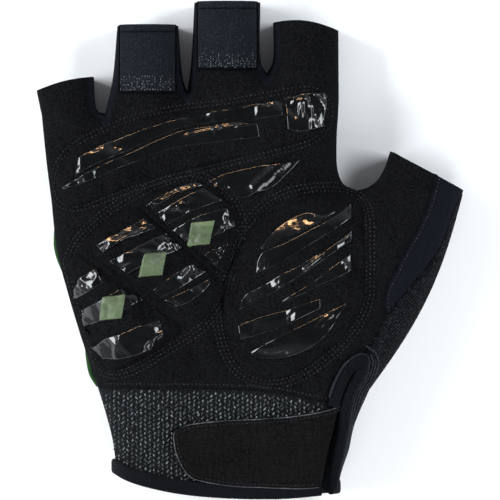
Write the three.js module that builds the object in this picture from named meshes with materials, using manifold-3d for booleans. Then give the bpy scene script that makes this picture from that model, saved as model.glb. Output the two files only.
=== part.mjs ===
// A fingerless cycling glove for the right hand, lying on its back with the palm up.
// Millimetres. X runs from the little finger to the thumb, Y from the cuff to the fingertips,
// and Z up from the surface that the glove lies on.
import * as THREE from "three";
import { mergeVertices } from "three/addons/utils/BufferGeometryUtils.js";
import Module from "manifold-3d";

// Driving dimensions of the hand shape
const gloveLength = 169; // cuff edge to the middle fingertip
const handSpan = 146; // little fingertip to the thumb's outer corner
const palmWidth = 101.4; // across the knuckles
const cuffWidth = 74.5; // across the cuff's edge
const fingerWidth = 22.8; // middle finger's opening
const thumbWidth = 28.4; // thumb's opening
const thumbBulge = 4.5; // swell of the thumb's outer side
const crotchSag = 3.2; // dip between the thumb and the palm
const gloveHeight = 27; // the palm's thickest place, without its pads
const sideShare = 0.46; // height of the widest line, as a share of the full height
const crush = 2.6; // how far the back would reach below the surface if it weren't flattened

// Driving dimensions of the cloth
const wall = 1.6; // cloth with its lining
const gap = 0.3; // clearance between neighbouring pieces
const backSeamHeight = 4.6; // seam between the palm side and the back
const webStripWidth = 2.2; // how far the strips between the fingers reach onto them
const webStripDepth = 5; // how far they reach below the fork
const hemWidth = 3.2; // tape round the cuff's edge
const hemBulge = 0.5; // how far that tape stands out from the knit
const slitWidth = 3.2;
const slitTapeRadius = 1.75;
const slitTapeLap = 0.2; // how far its middle stands off the slit's edge, as a share of its radius
const slitTapeFall = 17; // how far the tape runs down the slit's inner side from its head
const slitHeadReach = 0.55; // how far the tape passes the slit's head, as a share of slitWidth
const slitHeadWidth = 0.5; // the slit's width at its head, as a share of slitWidth
const pipingRadius = 0.8;
const pipingSeat = 0.5; // how far its middle stands off the cloth, as a share of its radius

// Driving dimensions of what lies on the cloth
const padEdge = 0.5; // thickness of a pad at its rim
const knucklePadLength = 95.9;
const knucklePadWidth = 41.5;
const knucklePadSwell = 1.6;
const heelPadLength = 75;
const heelPadWidth = 48.6;
const heelPadSwell = 2.2;
const thumbPadLength = 64;
const thumbPadWidth = 48.3;
const thumbPadSwell = 2.4;
const lensLength = 30.6;
const lensWidth = 12.9;
const printThickness = 0.45;
const markThickness = 0.4;
const markLength = 13;
const markWidth = 9.5;
const tabThickness = 1.5;
const tabInset = 0.5; // from the finger's open end
const tabLength = 22.7;
const ringTabWidth = 19.4;
const middleTabWidth = 20.6;
const strapThickness = 1.5;
const strapLength = 58;
const strapWidth = 29.6;

// The four fingers. Middle of the open end and of the base as shares of handSpan and
// gloveLength, widths as shares of fingerWidth, the open end's slope in degrees and how far it
// bows out as a share of fingerWidth.
const fingers = [
  {
    name: "little", tipAcross: -0.432, tipAlong: 0.836, tipWidth: 0.89, slope: 13.6, bow: 0.035,
    baseAcross: -0.421, baseAlong: 0.781, baseWidth: 0.842,
  },
  {
    name: "ring", tipAcross: -0.239, tipAlong: 0.953, tipWidth: 0.925, slope: 0, bow: 0,
    baseAcross: -0.239, baseAlong: 0.842, baseWidth: 1.075,
  },
  {
    name: "middle", tipAcross: -0.053, tipAlong: 1, tipWidth: 1, slope: 0, bow: 0,
    baseAcross: -0.056, baseAlong: 0.879, baseWidth: 1.061,
  },
  {
    name: "index", tipAcross: 0.13, tipAlong: 0.951, tipWidth: 0.991, slope: -7, bow: 0.079,
    baseAcross: 0.13, baseAlong: 0.879, baseWidth: 1,
  },
];
const webDepths = [0.777, 0.823, 0.858]; // between neighbouring fingers, as shares of gloveLength
const thumbTip = { across: 0.4134, along: 0.66, slope: -27.9 };

// The palm's and cuff's edges, as shares of palmWidth or cuffWidth about that size's centre
// line, and of gloveLength.
const widths = {
  palm: { width: palmWidth, centre: -0.14 * handSpan },
  cuff: { width: cuffWidth, centre: -0.056 * handSpan },
};
const littleSide = [
  { of: "cuff", across: -0.5, along: 0.053 },
  { of: "cuff", across: -0.519, along: 0.118 },
  { of: "cuff", across: -0.568, along: 0.198 },
  { of: "palm", across: -0.33, along: 0.259 },
  { of: "palm", across: -0.374, along: 0.339 },
  { of: "palm", across: -0.414, along: 0.42 },
  { of: "palm", across: -0.448, along: 0.5 },
  { of: "palm", across: -0.467, along: 0.601 },
  { of: "palm", across: -0.484, along: 0.681 },
  { of: "palm", across: -0.5, along: 0.772 },
];
const wristSide = [
  { of: "cuff", across: 0.5, along: 0.012 },
  { of: "cuff", across: 0.527, along: 0.057 },
  { of: "cuff", across: 0.559, along: 0.098 },
  { of: "cuff", across: 0.578, along: 0.138 },
  { of: "cuff", across: 0.614, along: 0.178 },
  { of: "cuff", across: 0.654, along: 0.218 },
];
const indexSide = [
  { of: "palm", across: 0.558, along: 0.621 },
  { of: "palm", across: 0.517, along: 0.633 },
  { of: "palm", across: 0.497, along: 0.66 },
  { of: "palm", across: 0.493, along: 0.719 },
  { of: "palm", across: 0.5, along: 0.796 },
  { of: "palm", across: 0.5, along: 0.855 },
];
const cuffEdge = [
  { of: "cuff", across: -0.5, along: 0.053 },
  { of: "cuff", across: -0.432, along: 0.037 },
  { of: "cuff", across: -0.253, along: 0.016 },
  { of: "cuff", across: -0.025, along: 0.005 },
  { of: "cuff", across: 0.244, along: 0.003 },
  { of: "cuff", across: 0.5, along: 0.012 },
];

// Stations of the padded form, at shares of handSpan and gloveLength: height of the top, and
// radius of the rounding towards the sides, as shares of gloveHeight.
const stations = [
  { across: -0.432, along: 0.84, top: 0.57, round: 0.34 },
  { across: -0.239, along: 0.96, top: 0.61, round: 0.36 },
  { across: -0.053, along: 1, top: 0.63, round: 0.39 },
  { across: 0.13, along: 0.96, top: 0.63, round: 0.39 },
  { across: -0.24, along: 0.77, top: 0.74, round: 0.48 },
  { across: 0.03, along: 0.8, top: 0.78, round: 0.48 },
  { across: -0.38, along: 0.62, top: 0.85, round: 0.67 },
  { across: -0.08, along: 0.52, top: 0.83, round: 0.81 },
  { across: 0.16, along: 0.66, top: 0.85, round: 0.59 },
  { across: -0.27, along: 0.36, top: 1, round: 0.85 },
  { across: 0.2, along: 0.42, top: 1.04, round: 0.85 },
  { across: 0.35, along: 0.5, top: 0.87, round: 0.59 },
  { across: 0.41, along: 0.66, top: 0.7, round: 0.47 },
  { across: -0.06, along: 0.2, top: 0.93, round: 0.7 },
  { across: -0.056, along: 0.03, top: 0.85, round: 0.59 },
];
const stationReach = 0.1; // how far a station is felt, as a share of handSpan

// Folds of the palm: a valley from one place to another, with its depth and half width as
// shares of gloveHeight
const folds = [
  { from: [0.3, 0.622], to: [0.02, 0.56], depth: 0.06, width: 0.19 },
  { from: [0.24, 0.285], to: [-0.12, 0.27], depth: 0.045, width: 0.19 },
  { from: [-0.02, 0.52], to: [-0.05, 0.3], depth: 0.05, width: 0.22 },
];

// Lines that the cloth is cut along, at shares of handSpan and gloveLength
const seamStations = {
  // between the thumb's suede and the stretch strip
  strip: [
    [0.45, 0.72], [0.432, 0.645], [0.414, 0.59], [0.39, 0.544], [0.36, 0.496], [0.336, 0.456],
    [0.316, 0.42], [0.311, 0.393], [0.314, 0.375],
  ],
  // between the stretch strip and the thumb's outer side, down to the slit's head
  outer: [
    [0.52, 0.64], [0.481, 0.59], [0.449, 0.514], [0.423, 0.48], [0.371, 0.424], [0.332, 0.385],
    [0.313, 0.363], [0.29, 0.325], [0.27, 0.295], [0.255, 0.27],
  ],
  // the middle of the slit, from its head to the cuff's edge
  slit: [
    [0.255, 0.27], [0.229, 0.238], [0.211, 0.198], [0.201, 0.138], [0.185, 0.067], [0.167, -0.02],
  ],
  // the top of the knitted band
  cuff: [[-0.6, 0.222], [-0.3, 0.222], [-0.06, 0.22], [0.06, 0.213], [0.2, 0.192], [0.6, 0.19]],
};

// Pads: the middle at shares of handSpan and gloveLength, length and width, turn in degrees,
// swell in the middle, and a row for each section with its two edges as shares of the width.
const pads = {
  knuckle_pad: {
    across: -0.132, along: 0.703, turn: 0,
    length: knucklePadLength, width: knucklePadWidth, swell: knucklePadSwell,
    sections: [
      { at: -0.49, low: -0.4, high: -0.22 },
      { at: -0.46, low: -0.48, high: -0.09 },
      { at: -0.42, low: -0.47, high: 0.01 },
      { at: -0.33, low: -0.39, high: 0.1 },
      { at: -0.23, low: -0.3, high: 0.21 },
      { at: -0.05, low: -0.18, high: 0.3 },
      { at: 0.16, low: -0.06, high: 0.36 },
      { at: 0.34, low: 0.04, high: 0.44 },
      { at: 0.43, low: 0.1, high: 0.47 },
      { at: 0.47, low: 0.14, high: 0.46 },
    ],
    cells: [{ name: "knuckle_pad", from: -0.49, to: 0.47, columns: 12, rows: 4 }],
  },
  heel_pad: {
    across: -0.234, along: 0.456, turn: 43,
    length: heelPadLength, width: heelPadWidth, swell: heelPadSwell,
    sections: [
      { at: -0.45, low: -0.29, high: -0.23 },
      { at: -0.41, low: -0.35, high: -0.08 },
      { at: -0.34, low: -0.38, high: 0.12 },
      { at: -0.28, low: -0.41, high: 0.3 },
      { at: -0.22, low: -0.42, high: 0.42 },
      { at: -0.14, low: -0.45, high: 0.46 },
      { at: 0, low: -0.49, high: 0.47 },
      { at: 0.14, low: -0.46, high: 0.43 },
      { at: 0.27, low: -0.33, high: 0.38 },
      { at: 0.41, low: -0.21, high: 0.27 },
      { at: 0.47, low: -0.11, high: 0.14 },
    ],
    cells: [
      { name: "heel_pad_lower", from: -0.45, to: -0.142, columns: 5, rows: 6 },
      { name: "heel_pad_middle", from: -0.107, to: 0.172, columns: 5, rows: 6 },
      { name: "heel_pad_upper", from: 0.207, to: 0.47, columns: 5, rows: 6 },
    ],
  },
  thumb_pad: {
    across: 0.101, along: 0.431, turn: 0,
    length: thumbPadWidth, width: thumbPadLength, swell: thumbPadSwell,
    sections: [
      { at: -0.5, low: -0.14, high: 0 },
      { at: -0.47, low: -0.27, high: 0.04 },
      { at: -0.41, low: -0.4, high: 0.14 },
      { at: -0.31, low: -0.47, high: 0.28 },
      { at: -0.17, low: -0.5, high: 0.4 },
      { at: 0, low: -0.47, high: 0.46 },
      { at: 0.18, low: -0.38, high: 0.48 },
      { at: 0.32, low: -0.29, high: 0.48 },
      { at: 0.43, low: -0.18, high: 0.47 },
      { at: 0.49, low: -0.08, high: 0.4 },
    ],
    cells: [{ name: "thumb_pad", from: -0.5, to: 0.49, columns: 7, rows: 7 }],
  },
};

// Printed gloss stripes: the pad cell that carries each, and its corners as shares of that
// pad's length and width. The one with no cell lies on the palm, in a frame of its own.
const lens = { across: 0.0105, along: 0.645, length: lensLength, width: lensWidth, turn: 0 };
const stripes = [
  {
    name: "stripe_knuckle_upper", cell: "knuckle_pad",
    corners: [
      [-0.39, -0.05], [-0.23, 0.11], [-0.05, 0.24], [0.16, 0.29], [0.3, 0.37], [0.31, 0.25],
      [0.22, 0.24], [0.06, 0.21], [-0.12, 0.11], [-0.3, -0.07],
    ],
  },
  {
    name: "stripe_knuckle_lower", cell: "knuckle_pad",
    corners: [
      [-0.44, -0.31], [-0.38, -0.2], [-0.23, -0.03], [-0.12, 0.07], [0.06, 0.18], [0.22, 0.21],
      [0.22, 0.15], [0.07, 0.1], [-0.09, 0.01], [-0.26, -0.16], [-0.38, -0.29],
    ],
  },
  {
    name: "stripe_index", cell: "knuckle_pad",
    corners: [[0.33, 0.38], [0.44, 0.42], [0.455, 0.4], [0.435, 0.2], [0.41, 0.17], [0.33, 0.17]],
  },
  {
    name: "stripe_palm_lens", cell: null,
    corners: [
      [-0.36, -0.08], [-0.26, 0.1], [0.08, 0.34], [0.5, 0.47], [0.34, 0.11], [0.12, -0.32],
      [-0.14, -0.53], [-0.25, -0.36],
    ],
  },
  {
    name: "stripe_heel_top", cell: "heel_pad_upper",
    corners: [[0.23, 0.3], [0.31, 0.29], [0.43, 0.2], [0.43, 0.16], [0.31, 0.21], [0.23, 0.25]],
  },
  {
    name: "stripe_heel_upper", cell: "heel_pad_upper",
    corners: [[0.22, 0.22], [0.42, 0.14], [0.455, 0.02], [0.32, 0.08], [0.22, 0.14]],
  },
  {
    name: "stripe_heel_side", cell: "heel_pad_upper",
    corners: [[0.23, -0.18], [0.35, -0.21], [0.3, -0.26], [0.24, -0.26]],
  },
  {
    name: "stripe_heel_middle", cell: "heel_pad_middle",
    corners: [[-0.09, 0.38], [0.02, 0.36], [0.15, 0.29], [0.155, 0.19], [0.01, 0.27], [-0.09, 0.31]],
  },
  {
    name: "stripe_heel_inner", cell: "heel_pad_middle",
    corners: [
      [-0.01, -0.12], [0.155, -0.26], [0.15, -0.33], [0.09, -0.37], [-0.01, -0.28], [-0.05, -0.18],
    ],
  },
  {
    name: "stripe_heel_outer", cell: "heel_pad_lower",
    corners: [[-0.18, 0.36], [-0.16, 0.25], [-0.27, 0.14], [-0.3, 0.17], [-0.24, 0.31]],
  },
  {
    name: "stripe_heel_lower", cell: "heel_pad_lower",
    corners: [
      [-0.4, -0.13], [-0.34, -0.12], [-0.155, -0.25], [-0.17, -0.36], [-0.32, -0.32], [-0.4, -0.25],
    ],
  },
  {
    name: "stripe_thumb_top", cell: "thumb_pad",
    corners: [
      [-0.25, 0.07], [-0.23, 0.15], [-0.1, 0.28], [0.03, 0.36], [0.13, 0.38], [0.25, 0.36],
      [0.4, 0.42], [0.41, 0.36], [0.17, 0.24], [-0.1, 0.12],
    ],
  },
  {
    name: "stripe_thumb_upper", cell: "thumb_pad",
    corners: [
      [-0.15, 0.06], [0.07, 0.14], [0.39, 0.28], [0.41, 0.22], [0.25, 0.14], [0.07, 0.05],
      [-0.13, -0.01],
    ],
  },
  {
    name: "stripe_thumb_middle", cell: "thumb_pad",
    corners: [
      [-0.38, -0.13], [-0.35, -0.07], [-0.11, -0.04], [0.04, -0.01], [0.31, 0.11], [0.41, 0.17],
      [0.41, 0.07], [0.18, 0], [-0.1, -0.09], [-0.34, -0.18],
    ],
  },
  {
    name: "stripe_thumb_lower", cell: "thumb_pad",
    corners: [
      [-0.32, -0.36], [-0.11, -0.27], [0.06, -0.2], [0.36, -0.09], [0.31, -0.19], [0.21, -0.28],
      [0.08, -0.35], [-0.04, -0.4], [-0.17, -0.42], [-0.27, -0.41],
    ],
  },
];

// Plain lozenges on the heel pad: the cell and the middle, as shares of the pad
const marks = [
  { name: "lozenge_upper", cell: "heel_pad_upper", at: [0.285, -0.05] },
  { name: "lozenge_middle", cell: "heel_pad_middle", at: [0.035, 0.02] },
  { name: "lozenge_lower", cell: "heel_pad_lower", at: [-0.232, 0] },
];

// The strap's edge, as shares of its length from the tip and of its width from its low edge,
// with its low corner at shares of handSpan and gloveLength.
const strap = {
  across: -0.178, along: 0.017,
  corners: [
    [0, 0.48], [0.01, 0.64], [0.06, 0.74], [0.15, 0.78], [0.44, 0.84], [0.74, 0.92], [0.97, 0.99],
    [0.93, 0.69], [0.89, 0.34], [0.85, 0.02], [0.68, 0.01], [0.5, 0.03], [0.33, 0.06], [0.15, 0.1],
    [0.07, 0.21], [0.02, 0.33],
  ],
};

// Colours, roughness
const finishes = {
  suede: { color: 0x17181a, roughness: 0.95 },
  back: { color: 0x16171b, roughness: 0.85 },
  stretch: { color: 0x1b2233, roughness: 0.8 },
  terry: { color: 0x1d2026, roughness: 1 },
  knit: { color: 0x23252a, roughness: 0.95 },
  tape: { color: 0x14161c, roughness: 0.7 },
  strap: { color: 0x181616, roughness: 0.75 },
  webbing: { color: 0x2b3036, roughness: 0.85 },
  gloss: { color: 0x0c0d10, roughness: 0.15 },
  olive: { color: 0x7d9c6a, roughness: 0.45 },
  green: { color: 0x4f9a3c, roughness: 0.7 },
};

const spot = (across, along) => new THREE.Vector2(across * handSpan, (along - 0.5) * gloveLength);
const edgeSpot = ({ of, across, along }) =>
  new THREE.Vector2(widths[of].centre + across * widths[of].width, (along - 0.5) * gloveLength);
const even = (n) => Array.from({ length: n + 1 }, (_, i) => i / n);
const rounded = (n) => even(n).map((t) => (1 - Math.cos(Math.PI * t)) / 2);
const mix = (a, b, t) => a.clone().lerp(b, t);

// Points at the given shares of a smooth curve through the given points.
function smooth(points, shares) {
  const curve = new THREE.CatmullRomCurve3(
    points.map((p) => new THREE.Vector3(p.x, p.y, 0)),
    false,
    "centripetal",
  );
  return shares.map((share) => {
    const p = curve.getPointAt(share);
    return new THREE.Vector2(p.x, p.y);
  });
}

// The point where a line of points that climbs in Y reaches the height y.
function pointAtY(points, y) {
  const found = points.findIndex((p) => p.y >= y);
  const i = found < 0 ? points.length - 1 : Math.max(1, found);
  const a = points[i - 1];
  const b = points[i];
  return mix(a, b, THREE.MathUtils.clamp((y - a.y) / (b.y - a.y), 0, 1));
}

// The two ends of an opening about its middle.
function ends(middle, width, slope) {
  const half = new THREE.Vector2(width / 2, 0);
  half.rotateAround(new THREE.Vector2(), THREE.MathUtils.degToRad(slope));
  return [middle.clone().sub(half), middle.clone().add(half)];
}

// Sides of the fingers, from root to open end
const littleSidePoints = littleSide.map(edgeSpot);
const indexSidePoints = indexSide.map(edgeSpot);
const wristSidePoints = wristSide.map(edgeSpot);
for (const finger of fingers) {
  const tip = spot(finger.tipAcross, finger.tipAlong);
  finger.tip = ends(tip, finger.tipWidth * fingerWidth, finger.slope);
  const base = spot(finger.baseAcross, finger.baseAlong);
  finger.base = ends(base, finger.baseWidth * fingerWidth, 0);
}
const webs = webDepths.map((along, i) => {
  const x = (fingers[i].base[1].x + fingers[i + 1].base[0].x) / 2;
  return new THREE.Vector2(x, (along - 0.5) * gloveLength);
});
const roots = [littleSidePoints.at(-1), ...webs, indexSidePoints.at(-1)];
const dense = even(24);
fingers.forEach((finger, i) => {
  const first = i === 0;
  const last = i === fingers.length - 1;
  const left = [roots[i], finger.base[0], finger.tip[0]];
  const right = [roots[i + 1], finger.base[1], finger.tip[1]];
  finger.left = smooth(first ? [left[0], left[2]] : left, dense);
  finger.right = smooth(last ? [right[0], right[2]] : right, dense);
});

// Sides of the thumb, from its base to its open end
const thumbBase = wristSidePoints.at(-1);
const crotch = indexSidePoints[0];
const thumbEnds = ends(spot(thumbTip.across, thumbTip.along), thumbWidth, thumbTip.slope);
function bulged(a, b, bulge, power, shares) {
  const along = b.clone().sub(a);
  const out = new THREE.Vector2(along.y, -along.x).normalize();
  const swell = (t) => bulge * Math.sin(Math.PI * t ** power);
  return shares.map((t) => mix(a, b, t).addScaledVector(out, swell(t)));
}
const thumbOuter = (shares) => bulged(thumbBase, thumbEnds[1], thumbBulge, 1, shares);
const thumbInner = (shares) => bulged(crotch, thumbEnds[0], crotchSag, 0.8, shares);

const littleLine = smooth(littleSidePoints, even(60));
const sideLines = [
  littleLine,
  smooth(wristSidePoints, dense),
  smooth(indexSidePoints, dense),
  thumbOuter(dense),
  thumbInner(dense),
  ...fingers.flatMap((finger) => [finger.left, finger.right]),
];

// Distance from a point to the stretch between two others.
function stretchDistance(x, y, a, b) {
  const dx = b.x - a.x;
  const dy = b.y - a.y;
  const t = THREE.MathUtils.clamp(((x - a.x) * dx + (y - a.y) * dy) / (dx * dx + dy * dy), 0, 1);
  return Math.hypot(x - a.x - t * dx, y - a.y - t * dy);
}
function sideDistance(x, y) {
  let best = Infinity;
  for (const line of sideLines) {
    for (let i = 1; i < line.length; i++) {
      best = Math.min(best, stretchDistance(x, y, line[i - 1], line[i]));
    }
  }
  return best;
}

// Height of the top and radius of the rounding at a point: a weighted mean of the stations.
function form(x, y) {
  let sum = 0;
  let top = 0;
  let round = 0;
  for (const station of stations) {
    const p = spot(station.across, station.along);
    const far = ((x - p.x) ** 2 + (y - p.y) ** 2) / (2 * (stationReach * handSpan) ** 2);
    const weight = Math.exp(-far) + 1e-12;
    sum += weight;
    top += weight * station.top;
    round += weight * station.round;
  }
  return { top: (gloveHeight * top) / sum, round: (gloveHeight * round) / sum };
}

// A quarter ellipse from 0 at the side to 1 at the full height.
const arch = (t) => Math.sqrt(1 - (1 - THREE.MathUtils.clamp(t, 0, 1)) ** 2);

function foldDepth(x, y) {
  return folds.reduce((sum, { from, to, depth, width }) => {
    const d = stretchDistance(x, y, spot(...from), spot(...to));
    return sum + depth * gloveHeight * Math.exp(-((d / (width * gloveHeight)) ** 2));
  }, 0);
}
function palmHeight(x, y, atSide = false) {
  const { top, round } = form(x, y);
  const middle = sideShare * top;
  const rise = atSide ? 0 : arch(sideDistance(x, y) / round);
  return middle + (top - middle - foldDepth(x, y)) * rise;
}
function backHeight(x, y, atSide = false) {
  const { top, round } = form(x, y);
  const middle = sideShare * top;
  const drop = atSide ? 0 : arch(sideDistance(x, y) / round);
  return Math.max(0, middle - (middle + crush) * drop);
}

// A grid of points between four edges that share their corners.
function filled(bottom, top, left, right, us, vs) {
  return vs.map((v, j) =>
    us.map((u, i) => {
      const p = left[j].clone().multiplyScalar(1 - u).addScaledVector(right[j], u);
      p.addScaledVector(bottom[i], 1 - v).addScaledVector(top[i], v);
      p.addScaledVector(bottom[0], -(1 - u) * (1 - v)).addScaledVector(bottom.at(-1), -u * (1 - v));
      return p.addScaledVector(top[0], -(1 - u) * v).addScaledVector(top.at(-1), -u * v);
    }),
  );
}

// The hand shape seen from above, as grids: the palm with its cuff, four fingers, the thumb.
const fingerColumns = 5;
const fingerRows = 2;
const cuffRows = 4;
const thumbRows = 6;
const knuckleRows = 4;
const thumbLengthRows = 4;
function handPatches() {
  const columns = rounded(fingerColumns);
  const knuckleLine = fingers.flatMap((_, i) =>
    columns.slice(i === 0 ? 0 : 1).map((t) => mix(roots[i], roots[i + 1], t)),
  );
  const first = knuckleLine[0].x;
  const us = knuckleLine.map((p) => (p.x - first) / (knuckleLine.at(-1).x - first));
  const cuffLine = smooth(cuffEdge.map(edgeSpot), us);
  const wrist = smooth(wristSidePoints, even(cuffRows));
  const inside = rounded(thumbRows).map((t) => mix(thumbBase, crotch, t));
  const index = smooth(indexSidePoints, even(knuckleRows).map((t) => t ** 1.3));
  const right = [...wrist, ...inside.slice(1), ...index.slice(1)];
  const vs = right.map((p) => (p.y - right[0].y) / (right.at(-1).y - right[0].y));
  const lowest = littleLine[0].y;
  const left = vs.map((v) => pointAtY(littleLine, lowest + v * (littleLine.at(-1).y - lowest)));
  const palm = {
    grid: filled(cuffLine, knuckleLine, left, right, us, vs),
    onSide: (i, j) =>
      i === 0 ||
      (i === us.length - 1 && (j <= cuffRows || j >= cuffRows + thumbRows)) ||
      (j === vs.length - 1 && i % fingerColumns === 0),
  };
  const fingerPatches = fingers.map((finger, i) => {
    const rows = even(fingerRows);
    const left = smooth(finger.left, rows);
    const right = smooth(finger.right, rows);
    const bottom = columns.map((t) => mix(roots[i], roots[i + 1], t));
    const top = columns.map((t) => {
      const p = mix(finger.tip[0], finger.tip[1], t);
      return p.setY(p.y + finger.bow * fingerWidth * Math.sin(Math.PI * t));
    });
    return {
      grid: filled(bottom, top, left, right, columns, rows),
      onSide: (c) => c === 0 || c === fingerColumns,
    };
  });
  const lengthwise = even(thumbLengthRows);
  const across = rounded(thumbRows);
  const opening = across.map((t) => mix(thumbEnds[1], thumbEnds[0], t));
  const thumb = {
    grid: filled(
      inside, opening, thumbOuter(lengthwise), thumbInner(lengthwise), across, lengthwise,
    ),
    onSide: (i) => i === 0 || i === thumbRows,
    flip: true,
  };
  return [palm, ...fingerPatches, thumb];
}

// Surfaces are { points: [Vector3], faces: [[a, b, c]] }.
function gridSurface(grid, flip = false) {
  const wide = grid[0].length;
  const faces = [];
  for (let j = 0; j + 1 < grid.length; j++) {
    for (let i = 0; i + 1 < wide; i++) {
      const a = j * wide + i;
      const b = a + 1;
      const c = b + wide;
      const d = a + wide;
      faces.push(flip ? [a, c, b] : [a, b, c], flip ? [a, d, c] : [a, c, d]);
    }
  }
  return { points: grid.flat(), faces };
}

// One surface from several, with points that lie together made one.
function joined(surfaces) {
  const points = [];
  const faces = [];
  const seen = new Map();
  for (const surface of surfaces) {
    const place = surface.points.map((p) => {
      const key = [p.x, p.y, p.z].map((n) => Math.round(n * 1e3 + 0.31)).join();
      if (!seen.has(key)) {
        seen.set(key, points.length);
        points.push(p.clone());
      }
      return seen.get(key);
    });
    for (const [a, b, c] of surface.faces) {
      const face = [place[a], place[b], place[c]];
      if (new Set(face).size === 3) faces.push(face);
    }
  }
  return { points, faces };
}

function normals({ points, faces }) {
  const sums = points.map(() => new THREE.Vector3());
  for (const [a, b, c] of faces) {
    const n = points[b].clone().sub(points[a]).cross(points[c].clone().sub(points[a]));
    for (const i of [a, b, c]) sums[i].add(n);
  }
  return sums.map((n) => n.normalize());
}

// A closed body between two copies of a surface.
function between(faces, inner, outer) {
  const count = outer.length;
  const open = new Map();
  for (const [a, b, c] of faces) {
    for (const [p, q] of [[a, b], [b, c], [c, a]]) {
      if (!open.delete(`${q},${p}`)) open.set(`${p},${q}`, [p, q]);
    }
  }
  const all = [...faces, ...faces.map(([a, b, c]) => [c + count, b + count, a + count])];
  for (const [p, q] of open.values()) all.push([q, p, p + count], [q, p + count, q + count]);
  const geometry = new THREE.BufferGeometry();
  const numbers = [...outer, ...inner].flatMap((p) => [p.x, p.y, p.z]);
  geometry.setAttribute("position", new THREE.Float32BufferAttribute(numbers, 3));
  geometry.setIndex(all.flat());
  return geometry;
}

// Joining and cutting
const wasm = await Module();
wasm.setup();
function solid(geometry) {
  const bare = geometry.clone();
  bare.deleteAttribute("normal");
  bare.deleteAttribute("uv");
  const merged = mergeVertices(bare, 1e-4);
  const mesh = new wasm.Mesh({
    numProp: 3,
    vertProperties: merged.attributes.position.array,
    triVerts: new Uint32Array(merged.index.array),
  });
  return new wasm.Manifold(mesh);
}
function geometryOf(made) {
  const { vertProperties, triVerts, numProp } = made.getMesh();
  const geometry = new THREE.BufferGeometry();
  const numbers = new THREE.InterleavedBuffer(vertProperties, numProp);
  geometry.setAttribute("position", new THREE.InterleavedBufferAttribute(numbers, 3, 0));
  geometry.setIndex(new THREE.BufferAttribute(triVerts, 1));
  return geometry.toNonIndexed();
}
const below = -2 * gloveHeight;
const above = 3 * gloveHeight;
function prism(points, low = below, high = above) {
  const settings = { depth: high - low, bevelEnabled: false, steps: 1 };
  const geometry = new THREE.ExtrudeGeometry(new THREE.Shape(points), settings);
  return solid(geometry.translate(0, 0, low));
}
const far = 2 * handSpan;
const corner = (x, y) => new THREE.Vector2(x, y);
const slab = (low, high) =>
  prism([corner(-far, -far), corner(far, -far), corner(far, far), corner(-far, far)], low, high);
const without = (body, cuts) => cuts.reduce((left, cut) => left.subtract(cut), body);

// The whole hand shape, its skin at any depth, and the part of it that faces up
const patches = handPatches();
const sheets = (height, back) =>
  patches.map(({ grid, onSide, flip = false }) => {
    const raised = grid.map((row, j) =>
      row.map((p, i) => new THREE.Vector3(p.x, p.y, height(p.x, p.y, onSide(i, j)))),
    );
    return gridSurface(raised, back !== flip);
  });
const palmSheets = sheets(palmHeight, false);
const hand = joined([...palmSheets, ...sheets(backHeight, true)]);
const handNormals = normals(hand);
const palmFaces = hand.faces.slice(0, joined(palmSheets).faces.length);
const moved = (by) => hand.points.map((p, i) => p.clone().addScaledVector(handNormals[i], by));
const handSkin = (inward, outward) => solid(between(hand.faces, moved(-inward), moved(outward)));
const palmSkin = (low, high) => solid(between(palmFaces, moved(low), moved(high)));
const underPalm = palmSkin(-2 * wall, gap);

// Points moved sideways by a distance, to the right of the way the line runs.
function shifted(points, distance) {
  return points.map((p, i) => {
    const along = points[Math.min(i + 1, points.length - 1)].clone();
    along.sub(points[Math.max(i - 1, 0)]).normalize();
    const by = typeof distance === "function" ? distance(i / (points.length - 1)) : distance;
    return p.clone().add(new THREE.Vector2(along.y * by, -along.x * by));
  });
}
const seam = (name, n = 12) => smooth(seamStations[name].map(([x, y]) => spot(x, y)), even(n));

// Regions seen from above, as prisms: each takes in its own side of a seam, less a margin
const tiny = 0.01; // keeps the end of a line from falling on its last point
function outerRegion(margin) {
  const line = [...seam("outer"), ...seam("slit").slice(1)];
  const edge = shifted(line, -margin);
  return prism([...edge, corner(far, edge.at(-1).y), corner(far, edge[0].y)], backSeamHeight);
}
function stripRegion(margin) {
  const line = seam("strip");
  const end = line.at(-1).clone().sub(line.at(-2)).setLength(tiny - margin);
  const inner = shifted([...line, line.at(-1).clone().add(end)], -margin);
  const outer = shifted(seam("outer"), margin).filter((p) => p.y > inner.at(-1).y);
  return prism([...inner, ...outer.reverse(), corner(outer.at(-1).x, inner[0].y)], backSeamHeight);
}
function cuffRegion(margin) {
  const top = seam("cuff").map((p) => corner(p.x, p.y - margin));
  return prism([corner(top[0].x, -far), corner(top.at(-1).x, -far), ...top.reverse()]);
}
function hemRegion(margin) {
  const line = smooth(cuffEdge.map(edgeSpot), even(12));
  const top = line.map((p) => corner(p.x, p.y + hemWidth - margin));
  const wide = [corner(-far, top[0].y), ...top, corner(far, top.at(-1).y)];
  return prism([corner(-far, -far), corner(far, -far), ...wide.reverse()]);
}
function slitRegion(margin) {
  const line = seam("slit");
  const wide = (t) => (slitWidth / 2 + margin) * Math.min(1, slitHeadWidth + 3 * t);
  const edges = [...shifted(line, wide), ...shifted(line, (t) => -wide(t)).reverse()];
  return prism(edges, backSeamHeight);
}
function webRegion(i, margin) {
  const reach = webStripWidth - margin;
  const depth = webStripDepth - margin;
  const inner = [...fingers[i].right].filter((_, k) => k % 4 === 0 && k > 0).reverse();
  const outer = fingers[i + 1].left.filter((_, k) => k % 4 === 0 && k > 0);
  const round = even(6).slice(1, -1).map((t) => {
    const angle = Math.PI * (1 + t);
    return webs[i].clone().add(corner(reach * Math.cos(angle), depth * Math.sin(angle)));
  });
  const beyond = (line) => line[0].clone().add(line[0].clone().sub(line[1]).setLength(3 * reach));
  const down = shifted([beyond(inner), ...inner], reach);
  const up = shifted([...outer, beyond([...outer].reverse())], reach);
  return prism([...down, ...round, ...up]);
}

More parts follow.
